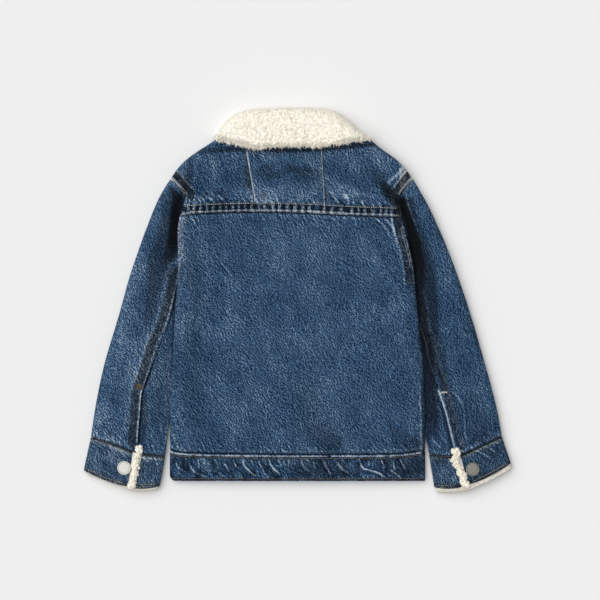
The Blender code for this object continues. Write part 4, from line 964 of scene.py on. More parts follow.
SLEEVE_CREASES["right"] += puckers(RIGHT_CUFF_SEAM[:30], 112.0, 12.0, 6.5, 1.3, 0.5, 0.20, 32)
SLEEVE_CUTS = {
    "upper_sleeve_left": ((0.118, 0.335), 0.0328),
    "upper_sleeve_right": ((0.122, 0.335), 0.0330),
    "under_sleeve_left": ((0.052, 0.226), 0.0104),
    "under_sleeve_right": ((0.054, 0.203), 0.0083),
}

# Painted shade where each sleeve sinks beside the body and its seam turns under, and a few broader darker
# strokes, with half width and depth.
SLEEVE_SHADES = {
    "left": (
        ((-152.0, 134.5, 3.0, 0.46), (-143.8, 121.7, 7.5, 0.68), (-145.4, 109.7, 7.5, 0.74),
         (-145.6, 97.7, 8.0, 0.78), (-146.8, 79.7, 9.0, 0.78), (-151.0, 61.7, 8.0, 0.62),
         (-160.5, 47.3, 7.0, 0.40), (-165.0, 25.7, 6.0, 0.20)),
        ((-158.0, 124.0, 6.0, 0.20), (-156.0, 97.7, 8.0, 0.32), (-159.0, 76.0, 9.0, 0.32),
         (-168.0, 50.0, 9.0, 0.26)),
        ((-184.0, -112.0, 3.6, 0.28), (-185.0, -140.0, 4.0, 0.28), (-186.0, -166.0, 3.6, 0.26)),
        ((-146.0, 40.0, 1.6, 0.40), (-148.0, 0.0, 1.4, 0.30), (-151.0, -60.0, 1.4, 0.20)),
        ((-158.0, -20.0, 9.0, 0.08), (-163.0, -80.0, 11.0, 0.10), (-168.0, -140.0, 11.0, 0.10)),
        ((-170.0, 56.0, 10.0, 0.28), (-171.0, 20.0, 9.0, 0.32), (-176.0, -8.0, 7.0, 0.22),
         (-183.0, -34.0, 5.0, 0.10)),
    ),
    "right": (
        ((125.0, 120.0, 5.5, 0.76), (131.0, 104.0, 5.0, 0.80), (137.0, 86.0, 5.4, 0.82),
         (141.0, 67.7, 8.0, 0.82), (143.6, 49.7, 9.0, 0.80), (145.8, 25.7, 9.0, 0.70),
         (145.4, 1.7, 7.0, 0.64), (151.0, -34.3, 7.5, 0.64), (158.0, -70.3, 7.0, 0.60),
         (158.0, -106.0, 8.0, 0.54), (162.0, -142.0, 8.0, 0.44), (164.0, -160.0, 6.0, 0.28)),
        ((133.0, 120.0, 5.0, 0.36), (140.0, 96.0, 6.0, 0.36), (149.0, 66.0, 7.0, 0.40),
         (154.0, 40.0, 9.0, 0.44), (158.0, 6.0, 9.0, 0.44), (161.0, -34.0, 9.0, 0.42),
         (165.0, -70.0, 7.0, 0.36)),
        ((178.0, -98.0, 5.0, 0.20), (184.0, -126.0, 7.0, 0.24), (190.0, -150.0, 6.0, 0.20)),
        ((170.0, -44.0, 7.0, 0.20), (174.0, -80.0, 6.0, 0.28), (176.0, -106.0, 6.0, 0.24)),
        ((208.0, -120.0, 10.0, 0.14), (220.0, -160.0, 12.0, 0.22)),
        ((178.0, -128.0, 2.6, 0.32), (182.0, -150.0, 2.6, 0.30), (185.0, -166.0, 2.6, 0.25)),
    ),
}
for side, seam, cuff_seam, armhole, inner, outward in (
    ("left", LEFT_SLEEVE_SEAM, LEFT_CUFF_SEAM, LEFT_ARMHOLE, LEFT_INNER, -1.0),
    ("right", RIGHT_SLEEVE_SEAM, RIGHT_CUFF_SEAM, RIGHT_ARMHOLE, RIGHT_INNER, 1.0),
):
    walls_here = [f"{part}_{side}" for part in ("upper_sleeve", "under_sleeve", "cuff", "cuff_lining")]
    lines = [seam, moved(seam, 6.0 * outward), moved(seam, 12.0 * outward), cuff_seam, armhole]
    lines += narrow_lines(SLEEVE_CREASES[side])
    for part in ("upper", "under"):
        node = f"{part}_sleeve_{side}"
        flat, area = SLEEVE_CUTS[node]
        piece = fine_cloth(node + "_denim", node, FINE_LEVELS, covers=walls_here, lines=lines)
        points, up, rise, wear = laid_cloth(piece, SLEEVE_HEIGHT, SLEEVE_CREASES[side])
        rise += unevenness(points, 26.0, 0.9, 14) + unevenness(points, 9.0, 0.25, 15)
        off = beside(points, seam) * outward
        mottled = unevenness(points, 3.2, 1.0, 55)
        greyed = np.zeros(len(points))
        dye_and_shade = shades(points, *SLEEVE_SHADES[side])
        above_change = ease((points[:, 1] - ROPE_CHANGE) / 4.0)
        worn_rope = 1.0 - above_change if side == "right" else np.zeros(len(points))
        if part == "upper":
            in_band = ease((12.0 - off) / 1.0) * ease(off / 0.5) * ease((46.0 - points[:, 1]) / 18.0)
            rise += 0.5 * bell(off, 0.5, 0.7) - 0.4 * bell(off, 2.2, 0.7) - 0.4 * bell(off, 11.0, 0.8)
            rope = 0.06 + 0.30 * (1.0 - above_change) if side == "left" else 0.46 * above_change
            wear += (rope + 0.14 * mottled) * bell(off, 0.9, 0.9) + 0.30 * mottled * in_band
            wear += (0.12 + 0.14 * mottled) * bell(off, 13.0, 1.8) * above_change
            greyed += 0.30 * in_band
            band_dark = 0.36 if side == "left" else 0.18 + 0.26 * above_change
            dark_band = band_dark * in_band * ease((off - 2.0) / 0.8)
            dye_and_shade = np.maximum(dye_and_shade * (1.0 - 0.8 * bell(off, 0.9, 1.0)), dark_band)
        else:
            # Painted shade along the seam's edge on the under sleeve, less where the rope is worn.
            seam_shade = 0.68 * bell(off, 0.2, 1.2) * (1.0 - worn_rope)
            dye_and_shade = np.maximum(dye_and_shade, seam_shade + 0.42 * bell(off, -3.0, 2.0) * worn_rope)
            if side == "left":
                dye_and_shade = np.maximum(dye_and_shade, 0.74 * bell(off, -1.4, 1.0))
            wear -= 0.05 * bell(off, 0.0, 5.0)
            rise -= 1.2 * bell(off, 0.0, 3.0)
        wear += (0.72 + 0.2 * mottled) * bell(off, 0.1, 1.1) * worn_rope
        dye_and_shade = dye_and_shade * (1.0 - 0.9 * bell(off, 0.1, 1.3) * worn_rope)
        from_inner = np.abs(beside(points, inner))
        high = ease((points[:, 1] + 30.0) / 90.0) if side == "left" else ease((points[:, 1] + 80.0) / 90.0)
        valley = ease((15.0 - from_inner) / 15.0) * high * ease((132.0 - points[:, 1]) / 12.0)
        rise -= 4.5 * valley
        cap = np.abs(beside(points, armhole))
        rise -= 0.9 * bell(cap, 0.2, 0.9)
        # Painted shade in the armhole seam's groove.
        dye_and_shade = np.maximum(dye_and_shade, 0.80 * bell(cap, 0.0, 1.3))
        wear += 0.14 * bell(cap, 2.8, 1.4) * ease((points[:, 1] - 132.0) / 6.0)
        from_cuff = np.abs(beside(points, cuff_seam))
        wear += (0.14 + 0.2 * mottled) * bell(from_cuff, 3.4, 1.8)
        rise -= 0.6 * bell(from_cuff, 0.0, 1.0)
        # Painted shade in the cuff seam's groove.
        dye_and_shade = np.maximum(dye_and_shade, 0.50 * bell(from_cuff, 0.0, 1.0))
        greyed += 0.3 * bell(from_cuff, 0.0, 2.0)
        foot = 158.0 if side == "left" else 180.0
        shut = bell(from_inner, 0.0, 1.8) * ease((points[:, 1] + foot) / 16.0)
        shut *= ease((points[:, 2] - 1.0) / 2.0)
        by_foot = (foot - 158.0) / 20.0 * bell(points[:, 1], -160.0, 13.0)
        shut *= 0.8 + 0.9 * bell(points[:, 1], -128.0, 18.0) + by_foot
        points[:, 0] -= outward * shut
        points[:, 2] += rise * up
        dress(
            piece,
            points,
            wear + (0.01 if side == "left" else -0.05),
            greyed,
            dye_and_shade,
            denim(f"{node} denim", streak_angle=126.0 if side == "left" else 118.0),
            [node],
            flat,
            area=area,
        )

# ---------------------------------------------------------------- cuffs
# A doubled denim band round each wrist, open at its slit, with both edges topstitched and
# the lining's pile swelling out of the slit and past the free edge.

CUFF_EDGE = {
    "left": drawn(
        (-257.4, -202.7), (-245.0, -207.5), (-232.0, -213.5), (-206.0, -221.2), (-194.0, -222.4),
        (-165.6, -221.8)
    ),
    "right": drawn(
        (256.5, -194.5), (243.0, -202.0), (226.0, -211.0), (207.0, -220.0), (190.0, -223.6), (164.1, -223.4)
    ),
}
CUFF_HEIGHT = 7.2
CUFF_CREASES = {
    "left": [
        crease(1.3, 0.6, 0.26, (-238.0, -172.5), (-231.0, -182.0)),
        crease(1.3, 0.6, 0.24, (-225.5, -174.5), (-217.0, -184.5)),
        crease(1.2, 0.5, 0.22, (-213.0, -179.5), (-206.5, -188.0)),
        crease(1.3, 0.7, 0.32, (-186.6, -186.2), (-179.0, -193.4)),
        crease(1.2, 0.4, 0.20, (-170.0, -190.0), (-167.0, -206.0)),
        crease(6.0, -0.6, -0.06, (-245.0, -188.0), (-228.0, -198.0), (-214.0, -208.0)),
    ],
    "right": [
        crease(1.3, 0.8, 0.34, (208.0, -177.0), (220.0, -181.6), (234.0, -190.4)),
        crease(1.4, 1.0, 0.34, (220.0, -172.6), (231.0, -176.4), (240.0, -182.6)),
        crease(1.2, 0.7, 0.28, (232.0, -167.4), (246.5, -172.4)),
        crease(1.2, 0.4, 0.18, (170.0, -192.0), (175.0, -208.0)),
        crease(1.1, 0.3, 0.14, (163.0, -190.0), (166.0, -202.0)),
        crease(6.0, -0.6, -0.08, (246.0, -182.0), (240.0, -196.0)),
    ],
}
# The slit's middle line, and how far its two cloth edges move in, at the top and at the foot.
SLITS = {
    "left": ((-192.8, -184.3), (-201.2, -220.3), (1.5, 4.4), (0.2, 2.6)),
    "right": ((193.0, -184.3), (203.1, -220.3), (-2.2, -2.6), (-2.4, -2.0)),
}
# Where the button piece's lower corner turns up into the slit, and its radius's middle.
SLIT_CORNERS = {"left": (-207.4, -216.0), "right": (209.0, -214.4)}
SLIT_REACH = 15.0
CORNER_REACH = 9.0
for side, seam in (("left", LEFT_CUFF_SEAM), ("right", RIGHT_CUFF_SEAM)):
    node = "cuff_" + side
    lines = [seam, CUFF_EDGE[side]] + [fold.line for fold in CUFF_CREASES[side]]
    piece = fine_cloth(
        node + "_denim", node, FINE_LEVELS + 1,
        covers=[node, "cuff_lining_" + side], lines=lines, reach=(4.0, 2.4),
    )
    points, up, rise, wear = laid_cloth(piece, CUFF_HEIGHT, CUFF_CREASES[side])
    mottled = unevenness(points, 4.0, 1.0, 56)
    rise += unevenness(points, 16.0, 0.6, 17)
    from_seam = np.abs(beside(points, seam))
    from_edge = np.abs(beside(points, CUFF_EDGE[side]))
    rope = 0.30 if side == "left" else 0.16
    wear += (rope + 0.20 * mottled) * bell(from_seam, 4.2, 1.5) + 0.14 * unevenness(points, 8.0, 1.0, 57)
    wear += 0.10 * bell(from_edge, 0.2, 0.5)
    by_seam = 0.4 * bell(from_seam, 4.2, 1.0) - 0.5 * bell(from_seam, 2.0, 0.9)
    rise += by_seam - 0.4 * bell(from_edge, 2.6, 0.8)
    # Painted shade in the seam's groove and along the turned free edge.
    dye_and_shade = 0.56 * bell(from_seam, 0.6, 1.2) + (0.25 if side == "left" else 0.40) * bell(from_edge, 1.6, 1.5)
    greyed = 0.5 * bell(from_seam, 3.0, 2.4) + 0.6 * bell(from_edge, 1.4, 2.0)
    (top_x, top_y), (foot_x, foot_y), low_side, high_side = SLITS[side]
    down = (top_y - points[:, 1]) / (top_y - foot_y)
    from_slit = points[:, 0] - (top_x + down * (foot_x - top_x))
    down = np.clip(down, 0.0, 1.0)
    low, high = (ends[0] + down * (ends[1] - ends[0]) for ends in (low_side, high_side))
    shift = np.where(from_slit < 0.0, low, high)
    points[:, 0] += shift * ease(1.0 - np.abs(from_slit) / SLIT_REACH)
    rounded(points, SLIT_CORNERS[side], 1.0 if side == "left" else -1.0, CORNER_REACH)
    points[:, 2] += rise * up
    dress(
        piece,
        points,
        wear + (0.0 if side == "left" else -0.10),
        greyed + 0.2,
        dye_and_shade,
        denim(node + " denim", streak_angle=118.0),
        [node],
        (0.188, 0.040),
    )

# ---------------------------------------------------------------- stitching
# Lockstitch in a tan cotton thread, worn by washing to grey: two rows along each felled
# seam, one along the others, and a bar tack at the end of each sleeve seam.

THREAD_WIDTH = 0.85
STITCH_LENGTH = 1.9
STITCH_PITCH = 2.6
THREAD_SIDES = 6
THREAD_TAN = (0.48, 0.485, 0.45)
THREAD_DULL = (0.15, 0.155, 0.15)
THREAD_ORANGE = (0.24, 0.215, 0.18)
THREAD_GOLD = (0.11, 0.085, 0.040)
THREAD_PALE = (0.38, 0.50, 0.60)


def dimmed(colour, share):
    """A colour with its light cut or raised to a share."""
    return tuple(part * share for part in colour)


def thread(name, colour):
    """Cotton thread, paler and duller in small random patches."""
    made, tree, shader, place = bare_finish(name)
    stops = ((0.35, dimmed(colour, 0.38)), (0.68, dimmed(colour, 1.25)))
    faded = ramped(tree, noisy(tree, place, 260.0, 2.0), stops)
    filled(tree, shader, {"Base Color": faded, "Roughness": 0.75, "Specular IOR Level": 0.25})
    return made


cloth_tops = [
    BVHTree.FromObject(piece, bpy.context.evaluated_depsgraph_get())
    for piece in bpy.context.scene.objects
    if piece.name.endswith("_denim")
]


def top_of_cloth(x, y):
    """Height in millimetres of the highest cloth at a place."""
    highest = 0.0
    for tree in cloth_tops:
        hit = tree.ray_cast(Vector((x * MM, y * MM, 0.1)), Vector((0.0, 0.0, -1.0)))[0]
        if hit is not None:
            highest = max(highest, hit.z / MM)
    return highest


def stitch_starts(line, pitch, length):
    """The two ends of each stitch along a line."""
    lengths = lengths_of(line)
    for at in np.arange(pitch / 2.0, lengths[-1] - length, pitch):
        yield spot_on(line, lengths, at), spot_on(line, lengths, at + length)


def laid_on(name, mesh, finish):
    """A smooth piece of its own from a mesh."""
    mesh.shade_smooth()
    mesh.materials.append(finish)
    made = bpy.data.objects.new(name, mesh)
    bpy.context.scene.collection.objects.link(made)
    return made


def sewn(name, rows, colour, pitch=STITCH_PITCH, length=STITCH_LENGTH, width=THREAD_WIDTH):
    """Rows of stitches as small rounded lengths of thread, each dipping into the cloth at both ends."""
    profile = (
        (0.0, -0.30, 0.55), (0.16, 0.10, 0.95), (0.5, 0.20, 1.0), (0.84, 0.10, 0.95), (1.0, -0.30, 0.55),
    )
    points, faces = [], []
    for line in rows:
        for start, stop in stitch_starts(line, pitch, length):
            if min(top_of_cloth(*start), top_of_cloth(*stop)) < 2.0:
                continue
            run = (stop - start) / np.linalg.norm(stop - start)
            across = np.array((-run[1], run[0], 0.0))
            base = len(points)
            for share, lift, thickness in profile:
                x, y = start + (stop - start) * share
                z = top_of_cloth(x, y) + lift
                for side in range(THREAD_SIDES):
                    turn = 2.0 * math.pi * side / THREAD_SIDES
                    out = width / 2.0 * thickness
                    points.append(
                        np.array((x, y, z + 0.8 * out * math.sin(turn))) + across * out * math.cos(turn)
                    )
            for ring in range(len(profile) - 1):
                for side in range(THREAD_SIDES):
                    a = base + ring * THREAD_SIDES + side
                    b = base + ring * THREAD_SIDES + (side + 1) % THREAD_SIDES
                    faces.append((a, b, b + THREAD_SIDES, a + THREAD_SIDES))
            last = base + (len(profile) - 1) * THREAD_SIDES
            faces.append(tuple(base + side for side in reversed(range(THREAD_SIDES))))
            faces.append(tuple(last + side for side in range(THREAD_SIDES)))
    mesh = bpy.data.meshes.new(name)
    mesh.from_pydata([tuple(point * MM) for point in points], [], faces)
    made = laid_on(name, mesh, thread(name + " thread", colour))
    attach(made, "root")


def bar_tack(name, x, y, angle, width, height, colour):
    """A short block of close stitches across a seam's end."""
    along = np.array((math.cos(math.radians(angle)), math.sin(math.radians(angle))))
    across = np.array((-along[1], along[0]))
    rows = []
    for step in np.arange(-height / 2.0, height / 2.0, 0.55):
        middle = np.array((x, y)) + across * step
        rows.append(np.array([middle - along * (width / 2.0 + 0.6), middle + along * (width / 2.0 + 0.6)]))
    sewn(name, rows, colour, pitch=1.2, length=width, width=0.7)


def between(line, low, high, axis=0):
    """The part of a line whose x, or y with axis 1, lies between two values."""
    return line[(line[:, axis] > low) & (line[:, axis] < high)]


yoke_part = between(YOKE_SEAM, -137.0, 120.0)
sewn("yoke_stitching", [moved(yoke_part, LOWER_ROW), moved(yoke_part, UPPER_ROW)], THREAD_TAN)
sewn(
    "yoke_panel_stitching",
    [
        moved(between(YOKE_SEAM_LEFT, 118.0, 184.0, axis=1), 2.0),
        moved(between(YOKE_SEAM_RIGHT, 106.0, 184.0, axis=1), -1.0),
    ],
    THREAD_PALE,
    width=0.7,
)
sewn(
    "armhole_stitching",
    [moved(LEFT_ARMHOLE[1:], 2.4), moved(LEFT_ARMHOLE[1:], 10.4)]
    + [moved(RIGHT_ARMHOLE[1:], -2.4), moved(RIGHT_ARMHOLE[1:], -10.4)]
    + [moved(between(LEFT_SIDE, 52.0, 98.0, axis=1), 3.6),
       moved(between(RIGHT_SIDE, 38.0, 92.0, axis=1), -3.0)],
    THREAD_TAN,
    width=0.7,
)
sewn(
    "sleeve_stitching",
    [
        moved(between(LEFT_SLEEVE_SEAM, -160.0, 24.0, axis=1), -2.2),
        moved(between(LEFT_SLEEVE_SEAM, -100.0, 24.0, axis=1), -10.6),
        moved(between(RIGHT_SLEEVE_SEAM, -160.0, -24.0, axis=1), 2.2),
        moved(between(RIGHT_SLEEVE_SEAM, -160.0, -70.0, axis=1), 10.6),
    ],
    THREAD_DULL,
    width=0.6,
)
sewn("hem_stitching", [moved(BAND_TOP[1:-1], -4.0)], THREAD_ORANGE, width=0.7)
sewn("hem_edge_stitching", [moved(BAND_BOTTOM[3:-2], 2.6)], THREAD_ORANGE, width=0.7)
sewn(
    "cuff_stitching",
    [moved(between(LEFT_CUFF_SEAM, -246.0, -200.0), -2.6),
     moved(between(CUFF_EDGE["left"], -254.0, -208.0), 2.4)]
    + [moved(between(CUFF_EDGE["left"], -192.0, -168.0), 2.4)]
    + [moved(between(RIGHT_CUFF_SEAM, 200.0, 243.0), 2.6),
       moved(between(CUFF_EDGE["right"], 208.0, 254.0), -2.4)]
    + [moved(between(CUFF_EDGE["right"], 166.0, 190.0), -2.4)],
    THREAD_TAN,
    width=0.6,
)
bar_tack("bar_tack_left", -189.5, -102.4, 8.0, 8.0, 5.0, THREAD_GOLD)
bar_tack("bar_tack_right", 175.4, -109.0, 4.0, 9.0, 1.8, THREAD_TAN)

# ---------------------------------------------------------------- collar fall
# Cream sherpa folded over the back neck: a knitted ground covered in small curly clumps of
# pile, ragged where it hangs over the yoke.

CLUMP = 3.6
CLUMP_HEIGHT = 0.9
CREAM = (0.935, 0.895, 0.797)
# The darker cream that random tufts and the painted shade between clumps run towards.
CREAM_DEEP = tuple(part * dim for part, dim in zip(CREAM, (0.94, 0.92, 0.87)))


def sherpa(name):
    """Cream curly pile in uneven tufts, darkened by painted shade between its clumps and past the cuffs'
    edges.
    """
    made, tree, shader, place = bare_finish(name)
    tufts = noisy(tree, place, 380.0, 3.0, 0.6)
    patches = noisy(tree, place, 95.0, 2.0)
    # The wear values on sherpa hold each lock's own tint and the painted shade between clumps.
    tint = counted(tree, "ADD", counted(tree, "ADD", tufts, patches), written(tree, "wear"))
    inputs = {
        "Base Color": darkened_by_dye_and_shade(tree, ramped(tree, tint, ((0.72, CREAM_DEEP), (1.0, CREAM)))),
        "Normal": bumped(tree, tufts, 0.3, 0.4),
        "Roughness": 1.0,
        "Specular IOR Level": 0.05,
        "Sheen Weight": 0.20,
        "Sheen Roughness": 0.7,
    }
    filled(tree, shader, inputs)
    return made


def scattered(piece, spacing, seed):
    """Points spread over a piece's surface, about `spacing` mm apart, with their normals."""
    mesh = piece.data
    mesh.calc_loop_triangles()
    points, normals = mesh_arrays(piece)
    corners = np.empty(len(mesh.loop_triangles) * 3, np.int32)
    mesh.loop_triangles.foreach_get("vertices", corners)
    a, b, c = (points[corners.reshape(-1, 3)[:, i]] for i in range(3))
    cross = np.cross(b - a, c - a)
    area = np.linalg.norm(cross, axis=1) / 2.0
    draw = np.random.default_rng(seed)
    count = int(area.sum() / spacing**2)
    chosen = draw.choice(len(area), count, p=area / area.sum())
    u, v = draw.random((2, count, 1))
    u, v = np.where(u + v > 1.0, 1.0 - u, u), np.where(u + v > 1.0, 1.0 - v, v)
    places = a[chosen] + u * (b[chosen] - a[chosen]) + v * (c[chosen] - a[chosen])
    return places, cross[chosen] / np.maximum(2.0 * area[chosen, None], 1e-12)


def clumped(piece, clump, height, keep, seed):
    """Swells a piece's surface into rounded clumps; keep(points, normals) says where, from 0 to 1."""
    places, _ = scattered(piece, clump * 0.8, seed)
    tree = KDTree(len(places))
    for index, place in enumerate(places):
        tree.insert(place, index)
    tree.balance()
    points, normals = mesh_arrays(piece)
    distance = np.array([tree.find(point)[2] for point in points])
    lump = np.sqrt(np.clip(1.0 - (distance / (0.75 * clump)) ** 2, 0.0, 1.0))
    fuzz = np.array([noise.noise(Vector(point) / 1.5) for point in points])
    rise = height * (lump - 0.45) + 0.45 * fuzz
    points += normals * (rise * keep(points, normals))[:, None]
    # The second value is painted shade: darker in the hollows between clumps, lighter on their tops.
    return points, 0.25 * (lump - 0.7)


def curls(name, piece, spacing, reach, keep, seed, hang=0.0, dye_and_shade=0.0, stout=1.0):
    """Short curled locks of pile rooted all over a piece, joined in one mesh, that hang a little down."""
    places, normals = scattered(piece, spacing, seed)
    draw = np.random.default_rng(seed + 1)
    wanted = keep(places, normals) > draw.random(len(places))
    places, normals = places[wanted], normals[wanted]
    count = len(places)
    aside = draw.normal(size=(count, 3)) + np.array((0.0, -hang, 0.0))
    aside -= normals * (aside * normals).sum(1, keepdims=True)
    aside /= np.linalg.norm(aside, axis=1, keepdims=True)
    third = np.cross(normals, aside)
    segments, sides = 4, 3
    length = reach * draw.uniform(0.6, 1.3, (count, 1))
    turns = draw.uniform(0.5, 1.3, (count, 1)) * 2.0 * math.pi
    thick = stout * draw.uniform(0.30, 0.52, (count, 1))
    rings = []
    for step in range(segments + 1):
        t = step / segments
        angle = turns * t
        middle = places + normals * (length * (0.32 * math.sin(2.6 * t) - 0.10))
        middle = middle + aside * (length * 0.72 * t)
        middle = middle + (third * np.sin(angle) + aside * (np.cos(angle) - 1.0) * 0.5) * (0.20 * length)
        around = thick * (1.0 - 0.75 * t**2)
        ring = []
        for side in range(sides):
            turn = 2.0 * math.pi * side / sides
            ring.append(middle + (third * math.cos(turn) + normals * math.sin(turn)) * around)
        rings.append(np.stack(ring, axis=1))
    points = np.stack(rings, axis=1).reshape(-1, 3)
    points[:, 2] = np.maximum(points[:, 2], 0.05)
    per = (segments + 1) * sides
    pattern = []
    for step in range(segments):
        for side in range(sides):
            a, b = step * sides + side, step * sides + (side + 1) % sides
            pattern.append((a, b, b + sides, a + sides))
    base = np.arange(count)[:, None, None] * per
    quads = (np.array(pattern)[None] + base).reshape(-1, 4)
    caps = np.array([[2, 1, 0], [per - 3, per - 2, per - 1]])
    tips = (caps[None] + base).reshape(-1, 3)
    mesh = bpy.data.meshes.new(name)
    mesh.from_pydata((points * MM).tolist(), [], quads.tolist() + tips.tolist())
    shade = np.repeat(draw.normal(0.06, 0.06, count), per)
    carry(mesh, {"wear": shade, "dye_and_shade": dye_and_shade})
    made = laid_on(name, mesh, sherpa(name + " pile"))
    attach(made, "root")


def above_yoke(points, normals):
    """The outer face of the fall, and its rolled back, clear of the yoke it lies on."""
    low = ease((5.0 - beside(points, COLLAR_EDGE)) / 2.0)
    facing = low * ease((normals[:, 2] - 0.1) / 0.3) + (1.0 - low) * ease((normals[:, 2] + 0.35) / 0.5)
    return facing * ease((points[:, 2] - 2.0) / 3.0)


COLLAR_EDGE = drawn(
    (-95.6, 194.9), (-80.0, 191.5), (-64.4, 188.5), (-54.8, 185.0), (-33.2, 185.3), (-9.2, 185.9),
    (14.8, 185.3), (38.8, 186.5), (50.8, 190.2), (62.8, 192.9), (79.6, 194.2),
)

EDGE_DROP = 1.6
EDGE_ROLL = 6.0

fall = fine_cloth("collar_fall_ground", "collar_fall", FINE_LEVELS + 1)
smooth_points, smooth_normals = mesh_arrays(fall)
fall_points, fall_shade = clumped(fall, CLUMP, CLUMP_HEIGHT, above_yoke, 41)
# The thick pile stands full and level right up to the free edge, then drops off steeply.
inward = beside(smooth_points, COLLAR_EDGE)
places = np.arange(-100.0, 95.0, 5.0)
tops = [smooth_points[np.abs(smooth_points[:, 0] - at) < 4.0, 2].max(initial=0.0) for at in places]
drop = EDGE_DROP * (1.0 - np.clip(inward / EDGE_ROLL, 0.0, 1.0)) ** 2
level = np.interp(smooth_points[:, 0], places, tops) - drop
lifted = ease((smooth_points[:, 2] - 17.5) / 3.5) * ease((EDGE_ROLL + 2.0 - inward) / 2.0)
lifted *= smooth_normals[:, 2] > -0.3
fall_points[:, 2] += np.maximum(level - smooth_points[:, 2], 0.0) * lifted
# The pile lies lower over the roll than the ground's form, most at the left shoulder.
settled = np.interp(
    fall_points[:, 0],
    (-96.0, -90.0, -83.0, -74.0, 30.0, 50.0, 62.0, 78.0, 84.0, 90.0),
    (5.0, 4.4, 2.6, 0.6, 0.6, 2.2, 1.6, 2.4, 5.0, 9.0),
)
fall_points[:, 1] -= settled * ease((fall_points[:, 1] - 190.0) / 18.0)
# The painted shade between the clumps goes in as the fall's wear values.
dress(
    fall, fall_points, fall_shade, 0.0, 0.0, sherpa("collar sherpa"),
    ["collar_fall"], (0.190, 0.070), rests_on=["yoke_center"],
)
curls("collar_fall_pile", fall, 1.75, 3.0, above_yoke, 42, hang=0.8)


def by_free_edge(points, normals):
    """Near the fall's free edge, on its outer face."""
    return ease((4.5 - np.abs(beside(points, COLLAR_EDGE) - 1.0)) / 1.5) * ease((normals[:, 2] - 0.1) / 0.3)


curls("collar_fringe", fall, 1.25, 6.4, by_free_edge, 47, hang=3.2, stout=1.35)

# ---------------------------------------------------------------- collar leaves
# The two front leaves of the collar, the same sherpa, turned under the fronts and flat on
# the table.


def off_the_table(points, normals):
    """How far the pile may stand out: on the faces turned down, but not where they rest."""
    return ease((0.3 - normals[:, 2]) / 0.3) * ease(points[:, 2] / 2.0)


for side in ("left", "right"):
    node = "collar_leaf_" + side
    leaf = fine_cloth(node + "_ground", node, FINE_LEVELS)
    points, shade = clumped(leaf, CLUMP, 0.7, off_the_table, 43)
    # The painted shade between the clumps goes in as the leaf's wear values.
    dress(leaf, points, shade, 0.0, 0.0, sherpa(node + " sherpa"), [node], (0.085, 0.066), area=0.0038)

# ---------------------------------------------------------------- cuff linings
# A tube of the same sherpa inside each cuff, which swells out of the slit and hangs a little
# past the cuff's free edge, where painted shade darkens it.

SLIT_PILE = {
    "left": ((-189.5, -174.0, 1.6), (-191.4, -180.7, 4.4), (-193.0, -190.3, 4.0), (-193.8, -198.7, 4.6),
             (-195.4, -207.1, 2.4), (-197.2, -214.3, 2.4), (-198.2, -221.0, 3.2)),
    "right": ((189.6, -177.0, 2.4), (189.2, -184.3, 5.8), (188.8, -191.5, 5.6), (193.6, -198.7, 4.2),
              (196.6, -207.1, 4.0), (199.2, -214.3, 4.0), (201.8, -221.0, 4.0)),
}
PILE_BALLS = 12
PILE_HEIGHT = 15.4


def slit_pile(name, spine):
    """The tufts that swell out of a slit: a ragged crest of small overlapping lumps, as one mesh."""
    draw = np.random.default_rng(61)
    work = bmesh.new()
    for (x0, y0, w0), (x1, y1, w1) in zip(spine, spine[1:]):
        for step in range(PILE_BALLS):
            t = (step + draw.random()) / PILE_BALLS
            width = w0 + t * (w1 - w0)
            aside = draw.uniform(-1.0, 1.0)
            across = x0 + t * (x1 - x0) + aside * width
            middle = Vector((across, y0 + t * (y1 - y0), PILE_HEIGHT - 1.6 * aside**2))
            size = draw.uniform(1.4, 2.4)
            lump = bmesh.ops.create_icosphere(work, subdivisions=2, radius=size)["verts"]
            squash = Vector((draw.uniform(0.8, 1.2), draw.uniform(0.8, 1.3), draw.uniform(0.6, 0.9)))
            for vertex in lump:
                rough = 1.0 + 0.22 * noise.noise(vertex.co * 0.9 + middle)
                vertex.co = Vector(a * b * rough for a, b in zip(vertex.co, squash)) + middle
    bmesh.ops.scale(work, verts=work.verts, vec=(MM, MM, MM))
    mesh = bpy.data.meshes.new(name)
    work.to_mesh(mesh)
    work.free()
    made = laid_on(name, mesh, sherpa(name + " sherpa"))
    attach(made, "root")
    return made


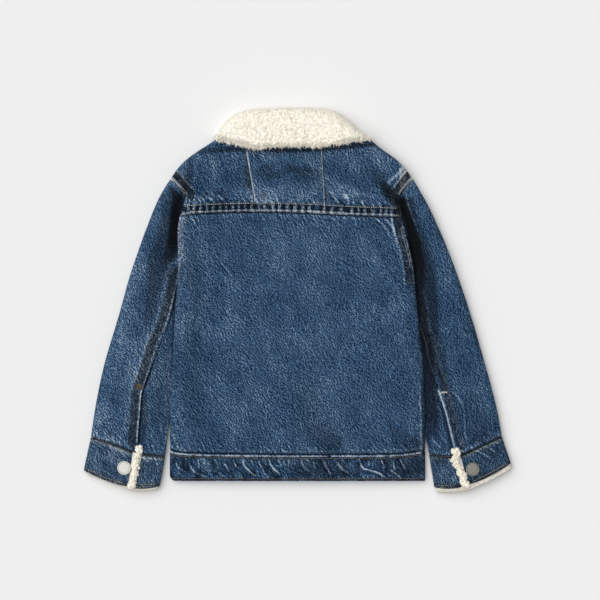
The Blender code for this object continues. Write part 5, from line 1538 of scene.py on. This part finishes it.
for side, edge in CUFF_EDGE.items():
    node = "cuff_lining_" + side
    lining = fine_cloth(node + "_ground", node, FINE_LEVELS)
    outward = 1.0 if side == "left" else -1.0

    def past_edge(points):
        """How far points hang past the cuff's free edge."""
        return -outward * beside(points, edge)

    def hanging(points, normals):
        return ease((past_edge(points) + 1.0) / 1.0) * ease((points[:, 2] - 1.0) / 2.0)

    points, normals = mesh_arrays(lining)
    points, shade = clumped(lining, 3.6, 0.8, hanging, 44)
    past = past_edge(points)
    slit_x = SLITS[side][1][0]
    tucked = ease((outward * (slit_x - points[:, 0]) - 2.0) / 6.0)
    if side == "right":
        tucked = 0.5 + 0.5 * ease((slit_x - points[:, 0] - 2.0) / 6.0)
    ragged = 0.8 * unevenness(points, 2.6, 1.0, 45) + 0.5
    back = ((2.2 if side == "left" else 3.4) * tucked + ragged) * ease((past + 1.5) / 3.0)
    points[:, 1] += back
    # Painted shade on the lining past the cuff's free edge; the shade painted between its clumps goes in as
    # its wear values.
    dim = 0.10 * ease(past / 2.0)
    dress(lining, points, shade, 0.0, dim, sherpa(node + " sherpa"), [node], (0.190, 0.044))
    # Its locks carry a little painted shade too.
    curls(node + "_pile", lining, 1.5, 2.4, hanging, 45, hang=0.6, dye_and_shade=0.12)
    crest = slit_pile("slit_pile_" + side, SLIT_PILE[side])
    curls("slit_curls_" + side, crest, 1.2, 1.8, lambda points, normals: ease(normals[:, 2] + 0.4), 46)

# ---------------------------------------------------------------- snaps
# Pressed metal caps with a rolled rim round a flat satin dish: one on each cuff, and six
# flush in the placket and the hem band below.

SNAP_SILVER = (0.54, 0.535, 0.49)
# The right cuff's snap has a darker copy of the same silver: painted shade, as it reflects less light than
# the left one.
SNAP_SHADED = (0.17, 0.165, 0.145)


def pressed_metal(name, colour, roughness):
    """Satin metal with a slight haze of wear."""
    made, tree, shader, place = bare_finish(name)
    hazed = ramped(tree, noisy(tree, place, 300.0, 3.0), ((0.3, dimmed(colour, 0.9)), (0.7, colour)))
    filled(tree, shader, {"Base Color": hazed, "Metallic": 0.5, "Roughness": roughness})
    return made


def finish_snap(node, metal):
    """Gives a snap its metal."""
    cap = frame["nodes"][node]
    cap.data.materials.clear()
    cap.data.materials.append(metal)


finish_snap("snap_left", pressed_metal("bright snap", SNAP_SILVER, 0.42))
finish_snap("snap_right", pressed_metal("shaded snap", SNAP_SHADED, 0.38))
front_metal = pressed_metal("front snap", SNAP_SILVER, 0.42)
for number in range(1, 7):
    finish_snap(f"front_snap_{number}", front_metal)
